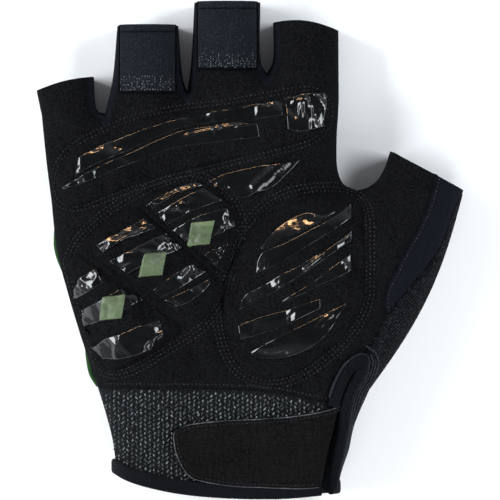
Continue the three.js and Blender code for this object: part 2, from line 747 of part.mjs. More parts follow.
const group = new THREE.Group();
function add(name, body, finish) {
  const geometry = body.isBufferGeometry ? body : geometryOf(body);
  const material = new THREE.MeshStandardMaterial({ ...finishes[finish], metalness: 0 });
  const mesh = new THREE.Mesh(geometry, material);
  mesh.name = name;
  group.add(mesh);
}

// A body without the slivers that cuts leave along a seam.
function trimmed(body) {
  const parts = body.decompose().sort((a, b) => b.volume() - a.volume());
  return parts[0];
}

// Cloth: one shell, cut into its panels
const cloth = handSkin(wall, 0).subtract(hemRegion(-gap));
const webCuts = webs.map((_, i) => webRegion(i, -gap));
const palmSide = cloth.intersect(slab(backSeamHeight + gap, above));
const palmCuts = [
  ...webCuts, outerRegion(-gap), stripRegion(-gap), cuffRegion(-gap), slitRegion(0),
];
add("palm_panel", trimmed(without(palmSide, palmCuts)), "suede");
const backSide = cloth.intersect(slab(below, backSeamHeight));
add("back_panel", trimmed(without(backSide, [...webCuts, cuffRegion(-gap)])), "back");
webs.forEach((_, i) => {
  add(`web_strip_${i + 1}`, trimmed(cloth.intersect(webRegion(i, 0))), "stretch");
});
const thumbSide = without(palmSide, [cuffRegion(-gap), slitRegion(0)]);
add("thumb_outer_panel", trimmed(thumbSide.intersect(outerRegion(0))), "terry");
add("thumb_stretch_strip", trimmed(thumbSide.intersect(stripRegion(0))), "stretch");
add("cuff_band", trimmed(cloth.intersect(cuffRegion(0)).subtract(slitRegion(0))), "knit");

// Tape round the cuff's edge
const ground = slab(0, above);
const hem = handSkin(wall + hemBulge, hemBulge).intersect(hemRegion(0)).intersect(ground);
add("cuff_binding", trimmed(hem.subtract(slitRegion(0))), "tape");
const hemSpace = handSkin(wall + hemBulge, hemBulge + gap).intersect(hemRegion(-gap));

// A round cord through points, given with their heights.
function cord(points, radius, steps) {
  const section = new THREE.Shape();
  even(8).slice(0, -1).forEach((t, i) => {
    const [x, y] = [radius * Math.cos(2 * Math.PI * t), radius * Math.sin(2 * Math.PI * t)];
    if (i === 0) section.moveTo(x, y);
    else section.lineTo(x, y);
  });
  const path = new THREE.CatmullRomCurve3(points, false, "centripetal");
  return new THREE.ExtrudeGeometry(section, { steps, bevelEnabled: false, extrudePath: path });
}

// Tape round the slit: down its inner side a little way, and down its outer side to the cuff
const slitLine = seam("slit", 20);
const slitHead = slitLine[0];
const cuffEnd = edgeSpot(cuffEdge.at(-1));
const tapeReach = slitWidth / 2 + slitTapeLap * slitTapeRadius;
const tapeOuter = shifted(slitLine, -tapeReach).filter((p) => p.y > cuffEnd.y);
const tapeInner = shifted(slitLine, tapeReach).filter((p) => slitHead.y - p.y < slitTapeFall);
const headOut = slitHead.clone().sub(slitLine[1]).setLength(slitHeadReach * slitWidth);
const tapeLine = [
  ...tapeInner.slice(1).reverse(), slitHead.clone().add(headOut), ...tapeOuter.slice(1),
];
const onPalm = (p, lift) => new THREE.Vector3(p.x, p.y, palmHeight(p.x, p.y) + lift);
const tapePoints = tapeLine.map((p) => onPalm(p, slitTapeRadius + gap));
const tapeAt = (radius) => solid(cord(tapePoints, radius, 26));
add("slit_binding", trimmed(without(tapeAt(slitTapeRadius), [underPalm, hemSpace])), "tape");

// Strap over the cuff, up to the slit's tape
const strapCorner = spot(strap.across, strap.along);
const strapOutline = strap.corners.map(([u, v]) =>
  strapCorner.clone().add(corner(u * strapLength, v * strapWidth)),
);
const strapLow = hemBulge + gap;
const strapBody = palmSkin(strapLow, strapLow + strapThickness).intersect(prism(strapOutline));
add("wrist_strap", trimmed(strapBody.subtract(tapeAt(slitTapeRadius + gap))), "strap");

// Woven tabs at the ends of the ring and middle fingers
for (const [index, width] of [[1, ringTabWidth], [2, middleTabWidth]]) {
  const finger = fingers[index];
  const middle = mix(finger.tip[0], finger.tip[1], 0.5);
  const outline = [
    corner(middle.x - width / 2, middle.y - tabInset - tabLength),
    corner(middle.x + width / 2, middle.y - tabInset - tabLength),
    corner(middle.x + width / 2, middle.y - tabInset),
    corner(middle.x - width / 2, middle.y - tabInset),
  ];
  const body = palmSkin(gap, gap + tabThickness).intersect(prism(outline));
  add(`${finger.name}_pull_tab`, trimmed(body), "webbing");
}

// Piping along the little finger's side, seated just under the widest line. Each row: place
// along the glove, height as a share of the widest line's, and how far it stands out.
const pipingStations = [
  { along: 0.55, height: 0.55, out: 0 },
  { along: 0.5, height: 0.8, out: 0 },
  { along: 0.42, height: 0.5, out: 0 },
  { along: 0.33, height: 0.5, out: 0 },
  { along: 0.28, height: 0.75, out: 0.2 },
  { along: 0.25, height: 0.85, out: 0.5 },
  { along: 0.227, height: 0.7, out: 0.1 },
];
const pipingPoints = pipingStations.map(({ along, height, out }) => {
  const p = pointAtY(littleLine, (along - 0.5) * gloveLength);
  const { top, round } = form(p.x, p.y);
  const middle = sideShare * top;
  const drop = (middle * (1 - height)) / (middle + crush);
  const inset = round * (1 - Math.sqrt(1 - drop ** 2));
  return new THREE.Vector3(p.x + inset - out - pipingSeat * pipingRadius, p.y, middle * height);
});
const skinSpace = handSkin(wall, gap);
add("side_piping", trimmed(solid(cord(pipingPoints, pipingRadius, 12)).subtract(skinSpace)), "green");

// A pad's cell: a grid over its sections, swollen towards the middle
function padPoint(pad, along, across) {
  const p = corner(along * pad.length, across * pad.width);
  p.rotateAround(corner(0, 0), THREE.MathUtils.degToRad(pad.turn));
  return p.add(spot(pad.across, pad.along));
}
function sectionAt(pad, at) {
  const rows = pad.sections;
  const i = Math.max(1, rows.findIndex((row) => row.at >= at));
  const t = THREE.MathUtils.clamp((at - rows[i - 1].at) / (rows[i].at - rows[i - 1].at), 0, 1);
  return {
    low: THREE.MathUtils.lerp(rows[i - 1].low, rows[i].low, t),
    high: THREE.MathUtils.lerp(rows[i - 1].high, rows[i].high, t),
  };
}
const swellShape = (t) => Math.sqrt(1 - Math.abs(2 * t - 1) ** 2.6);
function cellBody(pad, cell, raise) {
  const us = rounded(cell.columns);
  const vs = rounded(cell.rows);
  const grid = (height) =>
    vs.map((v) =>
      us.map((u) => {
        const at = THREE.MathUtils.lerp(cell.from, cell.to, u);
        const { low, high } = sectionAt(pad, at);
        const p = padPoint(pad, at, THREE.MathUtils.lerp(low, high, v));
        return new THREE.Vector3(p.x, p.y, palmHeight(p.x, p.y) + height(u, v));
      }),
    );
  const swelling = (u, v) => pad.swell * swellShape(u) * swellShape(v);
  const top = gridSurface(grid((u, v) => gap + padEdge + swelling(u, v) + raise));
  const low = gridSurface(grid(() => -wall));
  return solid(between(top.faces, low.points, top.points));
}
const cellSpace = new Map();
for (const pad of Object.values(pads)) {
  for (const cell of pad.cells) {
    cellSpace.set(cell.name, { pad, cell });
    add(cell.name, trimmed(cellBody(pad, cell, 0).subtract(underPalm)), "suede");
  }
}

// Printed stripes and lozenges, each a thin layer over its cell
function layer(cellName, thickness) {
  if (!cellName) return palmSkin(gap, gap + thickness);
  const { pad, cell } = cellSpace.get(cellName);
  return cellBody(pad, cell, gap + thickness).subtract(cellBody(pad, cell, gap));
}
for (const stripe of stripes) {
  const frame = stripe.cell ? cellSpace.get(stripe.cell).pad : lens;
  const outline = stripe.corners.map(([u, v]) => padPoint(frame, u, v));
  add(stripe.name, trimmed(layer(stripe.cell, printThickness).intersect(prism(outline))), "gloss");
}
for (const mark of marks) {
  const { pad } = cellSpace.get(mark.cell);
  const [u, v] = mark.at;
  const [du, dv] = [markLength / 2 / pad.length, markWidth / 2 / pad.width];
  const corners = [[u - du, v], [u, v - dv], [u + du, v], [u, v + dv]];
  const outline = corners.map((p) => padPoint(pad, ...p));
  add(mark.name, trimmed(layer(mark.cell, markThickness).intersect(prism(outline))), "olive");
}

export default group;
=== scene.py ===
"""A fingerless cycling glove for the right hand, lying on its back with the palm up.

X runs from the little finger to the thumb, Y from the cuff to the fingertips, Z up. The shapes
are worked out in millimetres and put into the meshes in metres.
"""

import bpy
import numpy as np
from mathutils import Matrix


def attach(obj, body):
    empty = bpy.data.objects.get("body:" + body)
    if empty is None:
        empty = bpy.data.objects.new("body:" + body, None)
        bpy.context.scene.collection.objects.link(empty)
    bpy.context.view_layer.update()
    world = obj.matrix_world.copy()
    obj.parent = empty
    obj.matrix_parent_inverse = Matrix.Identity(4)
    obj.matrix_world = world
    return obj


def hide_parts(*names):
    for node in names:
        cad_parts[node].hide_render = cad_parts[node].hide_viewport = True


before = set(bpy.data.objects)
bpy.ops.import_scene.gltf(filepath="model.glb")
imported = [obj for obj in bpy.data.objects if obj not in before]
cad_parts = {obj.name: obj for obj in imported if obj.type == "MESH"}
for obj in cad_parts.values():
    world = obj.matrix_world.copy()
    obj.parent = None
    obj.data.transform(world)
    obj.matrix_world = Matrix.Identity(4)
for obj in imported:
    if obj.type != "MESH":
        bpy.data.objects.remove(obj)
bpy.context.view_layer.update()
rng = np.random.default_rng(11)
MM = 0.001

# Sizes of the hand shape, as in the solids
GLOVE_LENGTH = 169
HAND_SPAN = 146
PALM_WIDTH = 101.4
CUFF_WIDTH = 74.5
FINGER_WIDTH = 22.8
THUMB_WIDTH = 28.4
THUMB_BULGE = 4.5
CROTCH_SAG = 3.2
GLOVE_HEIGHT = 27
SIDE_SHARE = 0.46
CRUSH = 2.6
WALL = 1.6
BACK_SEAM = 4.6
WEB_WIDTH = 2.2
WEB_DEPTH = 5
HEM_WIDTH = 4.4
SLIT_WIDTH = 3.2
SLIT_TAPE_RADIUS = 1.75
SLIT_TAPE_FALL = 17
STATION_REACH = 0.1
FLOOR_SOFT = 0.35

# Sizes that only this scene has
ROWS_OUT = {"knuckle": (0.9, 2.4), "heel": (1.0, 2.4, 3.8), "thumb": (1.0, 2.4, 3.8)}
ROW_PULLS = (0.42, 0.34, 0.34)
GROOVE_WIDTH = 0.75
OUTLINE_POINTS = 240
MERGE_STEP = 0.001
CELL_CORNER = 2.6
PAD_FOOT = 1.2
PUFF_STEPS = 20
PUFF_MOST = 0.9
FILM_THICKNESS = 0.3
FILM_RIM = 0.4
FILM_SUNK = 0.35
LOZENGE_THICKNESS = 0.75
LOZENGE_RIM = 0.6
STRAP_WALL = 1.6
TAB_WALL = 1.5
TAB_PITCH = 1.05
KNIT_PITCH = 1.5
FLOOR_REACH = 3.0
CAMERA_HEIGHT = 2.2
SENSOR_WIDTH = 36
VIEW_WIDTH = 0.17

# Fingers: middle of the open end and of the base, widths, the end's slope and its bow
FINGERS = [
    dict(tip=(-0.432, 0.836), wide=0.89, slope=13.6, bow=0.035, base=(-0.421, 0.781), low=0.842),
    dict(tip=(-0.239, 0.953), wide=0.925, slope=0, bow=0, base=(-0.239, 0.842), low=1.075),
    dict(tip=(-0.053, 1), wide=1, slope=0, bow=0, base=(-0.056, 0.879), low=1.061),
    dict(tip=(0.13, 0.951), wide=0.991, slope=-7, bow=0.079, base=(0.13, 0.879), low=1),
]
WEB_DEPTHS = [0.777, 0.823, 0.858]
THUMB_TIP = dict(at=(0.4134, 0.66), slope=-27.9)

# Side lines: share of the palm's or cuff's width about its middle, share of the length
WIDTHS = {"palm": (PALM_WIDTH, -0.14), "cuff": (CUFF_WIDTH, -0.056)}
LITTLE_SIDE = [
    ("cuff", -0.5, 0.053), ("cuff", -0.519, 0.118), ("cuff", -0.568, 0.198),
    ("palm", -0.33, 0.259), ("palm", -0.374, 0.339), ("palm", -0.414, 0.42),
    ("palm", -0.448, 0.5), ("palm", -0.467, 0.601), ("palm", -0.484, 0.681),
    ("palm", -0.5, 0.772),
]
WRIST_SIDE = [
    ("cuff", 0.5, 0.012), ("cuff", 0.527, 0.057), ("cuff", 0.559, 0.098),
    ("cuff", 0.578, 0.138), ("cuff", 0.614, 0.178), ("cuff", 0.654, 0.218),
]
INDEX_SIDE = [
    ("palm", 0.558, 0.621), ("palm", 0.517, 0.633), ("palm", 0.497, 0.66),
    ("palm", 0.493, 0.719), ("palm", 0.5, 0.796), ("palm", 0.5, 0.855),
]
CUFF_EDGE = [
    ("cuff", -0.5, 0.053), ("cuff", -0.432, 0.037), ("cuff", -0.253, 0.016),
    ("cuff", -0.025, 0.005), ("cuff", 0.244, 0.003), ("cuff", 0.5, 0.012),
]

# Stations of the padded form: place, height of the top and radius of the rounding
STATIONS = np.array([
    (-0.432, 0.84, 0.57, 0.34), (-0.239, 0.96, 0.61, 0.36), (-0.053, 1, 0.63, 0.39),
    (0.13, 0.96, 0.63, 0.39), (-0.24, 0.77, 0.74, 0.48), (0.03, 0.8, 0.78, 0.48),
    (-0.38, 0.62, 0.85, 0.67), (-0.08, 0.52, 0.83, 0.81), (0.16, 0.66, 0.85, 0.59),
    (-0.27, 0.36, 1, 0.85), (0.2, 0.42, 1.04, 0.85), (0.35, 0.5, 0.87, 0.59),
    (0.41, 0.66, 0.7, 0.47), (-0.06, 0.2, 0.93, 0.7), (-0.056, 0.03, 0.85, 0.59),
])

# Folds of the palm: from, to, depth and half width as shares of the height. The first three
# are those of the solids.
FOLDS = [
    ((0.3, 0.622), (0.02, 0.56), 0.06, 0.19),
    ((0.24, 0.285), (-0.12, 0.27), 0.045, 0.19),
    ((-0.02, 0.52), (-0.05, 0.3), 0.05, 0.22),
    ((0.27, 0.6), (0.12, 0.615), 0.022, 0.06),
    ((0.25, 0.56), (0.17, 0.5), 0.018, 0.07),
    ((0.2, 0.262), (0.1, 0.235), 0.025, 0.06),
    ((0.18, 0.3), (0.24, 0.25), 0.022, 0.06),
    ((-0.3, 0.262), (-0.2, 0.246), 0.016, 0.06),
    ((0.3, 0.44), (0.26, 0.34), 0.02, 0.08),
    ((-0.36, 0.74), (-0.3, 0.79), 0.02, 0.07),
    ((-0.19, 0.79), (-0.08, 0.82), 0.018, 0.08),
    ((0.1, 0.83), (0.2, 0.845), 0.018, 0.07),
]

# Lines that the cloth is cut along
SEAMS = {
    "strip": [
        (0.45, 0.72), (0.432, 0.645), (0.414, 0.59), (0.39, 0.544), (0.36, 0.496),
        (0.336, 0.456), (0.316, 0.42), (0.311, 0.393), (0.314, 0.375),
    ],
    "outer": [
        (0.52, 0.64), (0.481, 0.59), (0.449, 0.514), (0.423, 0.48), (0.371, 0.424),
        (0.332, 0.385), (0.313, 0.363), (0.29, 0.325), (0.27, 0.295), (0.255, 0.27),
    ],
    "slit": [
        (0.255, 0.27), (0.229, 0.238), (0.211, 0.198), (0.201, 0.138), (0.185, 0.067),
        (0.167, -0.02),
    ],
    "cuff": [(-0.6, 0.222), (-0.3, 0.222), (-0.06, 0.22), (0.06, 0.213), (0.2, 0.192), (0.6, 0.19)],
}

# Pads: middle, length, width, turn, swell, and sections with their two edges as shares
PADS = {
    "knuckle": dict(
        at=(-0.132, 0.703), length=95.9, width=41.5, turn=0, swell=1.1,
        sections=[
            (-0.49, -0.4, -0.22), (-0.46, -0.48, -0.09), (-0.42, -0.47, 0.01),
            (-0.33, -0.39, 0.1), (-0.23, -0.3, 0.21), (-0.05, -0.18, 0.3), (0.16, -0.06, 0.36),
            (0.34, 0.04, 0.44), (0.43, 0.1, 0.47), (0.47, 0.14, 0.46),
        ],
        cells=[("knuckle_pad", -0.49, 0.475, 150, 54)], slants={}, rim=(0.3, 2.4),
    ),
    "heel": dict(
        at=(-0.234, 0.456), length=75, width=48.6, turn=43, swell=2.2,
        sections=[
            (-0.45, -0.29, -0.23), (-0.41, -0.35, -0.08), (-0.34, -0.38, 0.12),
            (-0.28, -0.41, 0.3), (-0.22, -0.42, 0.42), (-0.14, -0.45, 0.46), (0, -0.49, 0.47),
            (0.14, -0.46, 0.43), (0.27, -0.33, 0.38), (0.41, -0.21, 0.27), (0.47, -0.11, 0.14),
        ],
        cells=[
            ("heel_pad_lower", -0.45, -0.121, 56, 76),
            ("heel_pad_middle", -0.086, 0.18, 52, 84),
            ("heel_pad_upper", 0.212, 0.47, 50, 64),
        ],
        slants={
            "heel_pad_lower": (0, -0.146), "heel_pad_middle": (-0.146, -0.065),
            "heel_pad_upper": (-0.065, 0),
        },
        rim=(1.5, 3.8),
    ),
    "thumb": dict(
        at=(0.101, 0.431), length=48.3, width=64, turn=0, swell=0.7,
        sections=[
            (-0.5, -0.14, 0), (-0.47, -0.27, 0.04), (-0.41, -0.4, 0.14), (-0.31, -0.47, 0.28),
            (-0.17, -0.5, 0.4), (0, -0.47, 0.46), (0.18, -0.38, 0.48), (0.32, -0.29, 0.48),
            (0.43, -0.18, 0.47), (0.49, -0.08, 0.4),
        ],
        cells=[("thumb_pad", -0.5, 0.49, 90, 110)], slants={}, rim=(0.35, 2.8),
    ),
}
CELLS = {cell[0]: (pad, cell) for pad in PADS.values() for cell in pad["cells"]}
LENS = dict(at=(0.0105, 0.645), length=30.6, width=12.9, turn=0)

# Printed stripes: the cell, and for each band its low edge and its high edge from one end to
# the other, as shares of the pad
STRIPES = {
    "stripe_knuckle_upper": ("knuckle_pad", [
        ([(-0.418, -0.221), (-0.376, -0.164), (-0.227, -0.008), (-0.121, 0.107), (-0.028, 0.18),
          (0.057, 0.213), (0.163, 0.246), (0.234, 0.246), (0.316, 0.27)],
         [(-0.404, -0.074), (-0.333, 0.016), (-0.234, 0.115), (-0.103, 0.213), (0.039, 0.287),
          (0.181, 0.344), (0.316, 0.402)]),
    ]),
    "stripe_knuckle_lower": ("knuckle_pad", [
        ([(-0.461, -0.328), (-0.369, -0.262), (-0.227, -0.123), (-0.121, -0.025), (-0.014, 0.033),
          (0.11, 0.066), (0.234, 0.098)],
         [(-0.465, -0.311), (-0.383, -0.197), (-0.227, -0.033), (-0.121, 0.082), (-0.028, 0.156),
          (0.057, 0.189), (0.163, 0.221), (0.227, 0.213)]),
    ]),
    "stripe_index": ("knuckle_pad", [
        ([(0.333, 0.156), (0.376, 0.139), (0.418, 0.148), (0.465, 0.172)],
         [(0.326, 0.418), (0.376, 0.443), (0.433, 0.459), (0.472, 0.459)]),
    ]),
    "stripe_palm_lens": (None, [
        ([(-0.489, -0.132), (-0.344, -0.368), (-0.144, -0.526), (0.033, -0.421), (0.189, -0.263),
          (0.344, 0.053), (0.511, 0.447)],
         [(-0.5, -0.079), (-0.333, 0.105), (-0.056, 0.263), (0.222, 0.395), (0.511, 0.474)]),
    ]),
    "stripe_heel_top": ("heel_pad_upper", [
        ([(0.202, 0.303), (0.269, 0.282), (0.36, 0.237), (0.439, 0.182)],
         [(0.194, 0.352), (0.262, 0.331), (0.359, 0.287), (0.434, 0.226)]),
    ]),
    "stripe_heel_upper": ("heel_pad_upper", [
        ([(0.199, 0.154), (0.302, 0.11), (0.38, 0.065), (0.455, 0.015)],
         [(0.203, 0.263), (0.293, 0.229), (0.368, 0.198), (0.433, 0.162)]),
        ([(0.207, -0.068), (0.311, -0.122), (0.405, -0.171)],
         [(0.2, 0.105), (0.336, 0.043), (0.45, -0.045)]),
    ]),
    "stripe_heel_side": ("heel_pad_upper", [
        ([(0.213, -0.221), (0.228, -0.28), (0.269, -0.273), (0.339, -0.239)],
         [(0.219, -0.171), (0.27, -0.188), (0.345, -0.229)]),
        ([(0.333, -0.135), (0.376, -0.158), (0.421, -0.175)],
         [(0.336, -0.101), (0.384, -0.123), (0.436, -0.14)]),
    ]),
    "stripe_heel_middle": ("heel_pad_middle", [
        ([(-0.094, 0.307), (0.023, 0.264), (0.088, 0.227), (0.159, 0.192)],
         [(-0.095, 0.386), (-0.011, 0.361), (0.073, 0.326), (0.147, 0.295)]),
        ([(-0.079, 0.085), (0.064, 0.023), (0.2, -0.039)],
         [(-0.099, 0.247), (0.038, 0.185), (0.174, 0.123)]),
    ]),
    "stripe_heel_inner": ("heel_pad_middle", [
        ([(-0.038, -0.185), (0.04, -0.221), (0.118, -0.246), (0.186, -0.267)],
         [(-0.042, -0.111), (0.061, -0.125), (0.115, -0.137), (0.17, -0.159)]),
        ([(-0.038, -0.289), (0.024, -0.33), (0.098, -0.351), (0.162, -0.348)],
         [(-0.047, -0.21), (0.035, -0.251), (0.112, -0.286), (0.18, -0.317)]),
    ]),
    "stripe_heel_outer": ("heel_pad_lower", [
        ([(-0.329, 0.215), (-0.267, 0.193), (-0.187, 0.163)],
         [(-0.301, 0.271), (-0.247, 0.299), (-0.196, 0.291), (-0.16, 0.269)]),
        ([(-0.398, 0.038), (-0.269, -0.034), (-0.084, -0.118)],
         [(-0.356, 0.139), (-0.243, 0.091), (-0.142, 0.052)]),
    ]),
    "stripe_heel_lower": ("heel_pad_lower", [
        ([(-0.425, -0.221), (-0.372, -0.287), (-0.29, -0.357), (-0.212, -0.402), (-0.145, -0.384)],
         [(-0.424, -0.107), (-0.357, -0.118), (-0.262, -0.177), (-0.174, -0.237), (-0.112, -0.288)]),
    ]),
    "stripe_thumb_top": ("thumb_pad", [
        ([(-0.225, 0.181), (-0.063, 0.229), (0.113, 0.298), (0.289, 0.372)],
         [(-0.218, 0.191), (-0.169, 0.245), (-0.077, 0.314), (0.042, 0.362), (0.12, 0.372),
          (0.197, 0.356), (0.282, 0.383)]),
        ([(-0.261, 0.059), (-0.134, 0.096), (0.07, 0.186), (0.289, 0.287), (0.401, 0.346)],
         [(-0.246, 0.122), (-0.211, 0.165), (-0.063, 0.213), (0.113, 0.282), (0.289, 0.356),
          (0.401, 0.42)]),
    ]),
    "stripe_thumb_upper": ("thumb_pad", [
        ([(-0.373, -0.128), (-0.31, -0.101), (-0.183, -0.053), (-0.028, 0.011), (0.127, 0.085),
          (0.254, 0.154), (0.401, 0.229)],
         [(-0.359, -0.074), (-0.324, -0.043), (-0.254, -0.016), (-0.099, 0.048), (0.042, 0.101),
          (0.218, 0.181), (0.352, 0.255), (0.401, 0.282)]),
    ]),
    "stripe_thumb_middle": ("thumb_pad", [
        ([(-0.085, -0.09), (0.077, -0.043), (0.183, 0), (0.324, 0.043), (0.401, 0.074)],
         [(-0.085, -0.08), (0.042, -0.027), (0.155, 0.027), (0.254, 0.085), (0.401, 0.165)]),
        ([(-0.366, -0.287), (-0.254, -0.261), (-0.028, -0.197), (0.183, -0.122)],
         [(-0.38, -0.213), (-0.275, -0.176), (-0.028, -0.122), (0.183, -0.069)]),
    ]),
    "stripe_thumb_lower": ("thumb_pad", [
        ([(-0.296, -0.372), (-0.225, -0.388), (-0.099, -0.388), (0.014, -0.367), (0.127, -0.319),
          (0.232, -0.25), (0.303, -0.176), (0.352, -0.106)],
         [(-0.296, -0.351), (-0.218, -0.314), (0.042, -0.213), (0.352, -0.096)]),
    ]),
}
LOZENGES = {
    "lozenge_upper": ("heel_pad_upper", (0.285, -0.05)),
    "lozenge_middle": ("heel_pad_middle", (0.035, 0.02)),
    "lozenge_lower": ("heel_pad_lower", (-0.232, 0)),
}
MARK_LENGTH = 13
MARK_WIDTH = 9.5

STRAP_AT = (-0.178, 0.017)
STRAP_SIZE = (58, 29.6)
STRAP_LOW = [
    (0, 0.52), (0.006, 0.46), (0.035, 0.31), (0.094, 0.155), (0.152, 0.105), (0.33, 0.045),
    (0.56, 0.022), (0.74, 0.01), (0.85, 0.02),
]
STRAP_HIGH = [
    (-0.004, 0.58), (-0.002, 0.65), (0.02, 0.705), (0.082, 0.762), (0.152, 0.788), (0.33, 0.816),
    (0.56, 0.839), (0.74, 0.873), (0.9, 0.93), (0.97, 0.975),
]


def even(n):
    """n + 1 shares, evenly spaced."""
    return np.linspace(0, 1, n + 1)


def rounded(n):
    """n + 1 shares, closer together at both ends, as a cosine runs."""
    return (1 - np.cos(np.pi * even(n))) / 2


def spot(across, along):
    """A place given as shares of the span and of the length."""
    return np.array([across * HAND_SPAN, (along - 0.5) * GLOVE_LENGTH])


def edge_spots(rows):
    """Places given as shares of the palm's or cuff's width about its own middle."""
    return np.array([
        (WIDTHS[of][1] * HAND_SPAN + across * WIDTHS[of][0], (along - 0.5) * GLOVE_LENGTH)
        for of, across, along in rows
    ])


def smooth(points, shares):
    """A centripetal Catmull-Rom line through the points, read at shares of its length."""
    p = np.asarray(points, float)
    ends = np.vstack([2 * p[0] - p[1], p, 2 * p[-1] - p[-2]])
    d = np.maximum(np.sqrt(np.linalg.norm(np.diff(ends, axis=0), axis=1)), 1e-9)
    t = np.linspace(0, 1, 48, endpoint=False)[:, None]
    runs = []
    for k in range(len(p) - 1):
        p0, p1, p2, p3 = ends[k:k + 4]
        d0, d1, d2 = d[k:k + 3]
        m1 = d1 * ((p1 - p0) / d0 - (p2 - p0) / (d0 + d1) + (p2 - p1) / d1)
        m2 = d1 * ((p2 - p1) / d1 - (p3 - p1) / (d1 + d2) + (p3 - p2) / d2)
        bend, twist = 3 * (p2 - p1) - 2 * m1 - m2, 2 * (p1 - p2) + m1 + m2
        runs.append(p1 + m1 * t + bend * t**2 + twist * t**3)
    dense = np.vstack([*runs, p[-1:]])
    return at_shares(dense, shares)


def unit(ways):
    """Directions made one long."""
    return ways / np.maximum(np.linalg.norm(ways, axis=-1, keepdims=True), 1e-12)


def border(grid):
    """The four sides of a grid, as one closed line."""
    return np.vstack([grid[0], grid[:, -1], grid[-1, ::-1], grid[::-1, 0]])


def lengths(line):
    """Length run so far at each point of a line."""
    return np.concatenate([[0], np.cumsum(np.linalg.norm(np.diff(line, axis=0), axis=1))])


def read(values, run, places):
    """Values given along a run, read at places on it."""
    return np.stack([np.interp(places, run, column) for column in values.T], axis=1)


def at_shares(line, shares):
    """Points at shares of a line's length."""
    run = lengths(line)
    return read(line, run, np.asarray(shares) * run[-1])


def sideways(line):
    """Unit vectors to the right of the way that a plan line runs."""
    along = unit(np.gradient(line, axis=0))
    return np.stack([along[:, 1], -along[:, 0]], axis=1)


def opening(middle, width, slope):
    """The two ends of an opening about its middle."""
    turn = np.radians(slope)
    half = np.array([np.cos(turn), np.sin(turn)]) * width / 2
    return np.array([middle - half, middle + half])


little_side = edge_spots(LITTLE_SIDE)
wrist_side = edge_spots(WRIST_SIDE)
index_side = edge_spots(INDEX_SIDE)
cuff_edge = edge_spots(CUFF_EDGE)
tips = [opening(spot(*f["tip"]), f["wide"] * FINGER_WIDTH, f["slope"]) for f in FINGERS]
bases = [opening(spot(*f["base"]), f["low"] * FINGER_WIDTH, 0) for f in FINGERS]
webs = [
    np.array([(bases[i][1, 0] + bases[i + 1][0, 0]) / 2, (deep - 0.5) * GLOVE_LENGTH])
    for i, deep in enumerate(WEB_DEPTHS)
]
roots = np.array([little_side[-1], *webs, index_side[-1]])
finger_left = []
finger_right = []
for i in range(4):
    left = [roots[i], tips[i][0]] if i == 0 else [roots[i], bases[i][0], tips[i][0]]
    right = [roots[i + 1], tips[i][1]] if i == 3 else [roots[i + 1], bases[i][1], tips[i][1]]
    finger_left.append(smooth(left, even(24)))
    finger_right.append(smooth(right, even(24)))
thumb_base = wrist_side[-1]
crotch = index_side[0]
thumb_ends = opening(spot(*THUMB_TIP["at"]), THUMB_WIDTH, THUMB_TIP["slope"])


def bulged(a, b, bulge, power, shares):
    """A line from a to b, pushed out by a half sine of its share to a power."""
    along = b - a
    out = np.array([along[1], -along[0]]) / np.linalg.norm(along)
    swell = bulge * np.sin(np.pi * np.asarray(shares) ** power)
    return a + np.outer(shares, along) + np.outer(swell, out)


def thumb_outer(shares):
    """The thumb's outer side, from its base."""
    return bulged(thumb_base, thumb_ends[1], THUMB_BULGE, 1, shares)


def thumb_inner(shares):
    """The thumb's inner side, from the crotch."""
    return bulged(crotch, thumb_ends[0], CROTCH_SAG, 0.8, shares)


little_line = smooth(little_side, even(60))
side_lines = [
    little_line, smooth(wrist_side, even(24)), smooth(index_side, even(24)),
    thumb_outer(even(24)), thumb_inner(even(24)), *finger_left, *finger_right,
]


def stretches(lines):
    """Starts and ends of the straight stretches of several lines."""
    return np.vstack([line[:-1] for line in lines]), np.vstack([line[1:] for line in lines])


def nearest(xy, starts, stops):
    """Distance to the nearest of many stretches, its number and the share along it."""
    span = stops - starts
    square = np.maximum((span**2).sum(1), 1e-12)
    best, number, share = [], [], []
    for part in np.array_split(xy, max(1, len(xy) // 6000)):
        off = part[:, None] - starts
        t = np.clip((off * span).sum(2) / square, 0, 1)
        far = ((off - t[..., None] * span) ** 2).sum(2)
        k = far.argmin(1)
        rows = np.arange(len(part))
        best.append(np.sqrt(far[rows, k]))
        number.append(k)
        share.append(t[rows, k])
    return np.concatenate(best), np.concatenate(number), np.concatenate(share)


side_starts, side_stops = stretches(side_lines)


def off_line(xy, line):
    """Distance from a line."""
    return nearest(xy, line[:-1], line[1:])[0]


def side_distance(xy):
    """Distance from the hand shape's side lines."""
    return nearest(xy, side_starts, side_stops)[0]


def form(xy):
    """Height of the top and radius of the rounding: a weighted mean of the stations, each
    weight falling with distance as a bell curve."""
    places = np.stack([STATIONS[:, 0] * HAND_SPAN, (STATIONS[:, 1] - 0.5) * GLOVE_LENGTH], axis=1)
    far = ((xy[:, None] - places) ** 2).sum(2) / (2 * (STATION_REACH * HAND_SPAN) ** 2)
    weight = np.exp(-far) + 1e-12
    mean = weight @ STATIONS[:, 2:] / weight.sum(1, keepdims=True)
    return GLOVE_HEIGHT * mean[:, 0], GLOVE_HEIGHT * mean[:, 1]


def arch(t):
    """A quarter ellipse from 0 at the side to 1 at the full height."""
    return np.sqrt(1 - (1 - np.clip(t, 0, 1)) ** 2)


def bell(d, width):
    """A bell curve of a distance."""
    return np.exp(-((d / width) ** 2))


def gate(x, low, high):
    """0 below low, 1 above high, and a smooth step between."""
    t = np.clip((x - low) / (high - low), 0, 1)
    return t * t * (3 - 2 * t)


def fold_depth(xy):
    """Sum of the folds: each a bell curve of the distance from its line."""
    total = np.zeros(len(xy))
    for start, stop, depth, width in FOLDS:
        d = nearest(xy, spot(*start)[None], spot(*stop)[None])[0]
        total += depth * GLOVE_HEIGHT * bell(d, width * GLOVE_HEIGHT)
    return total


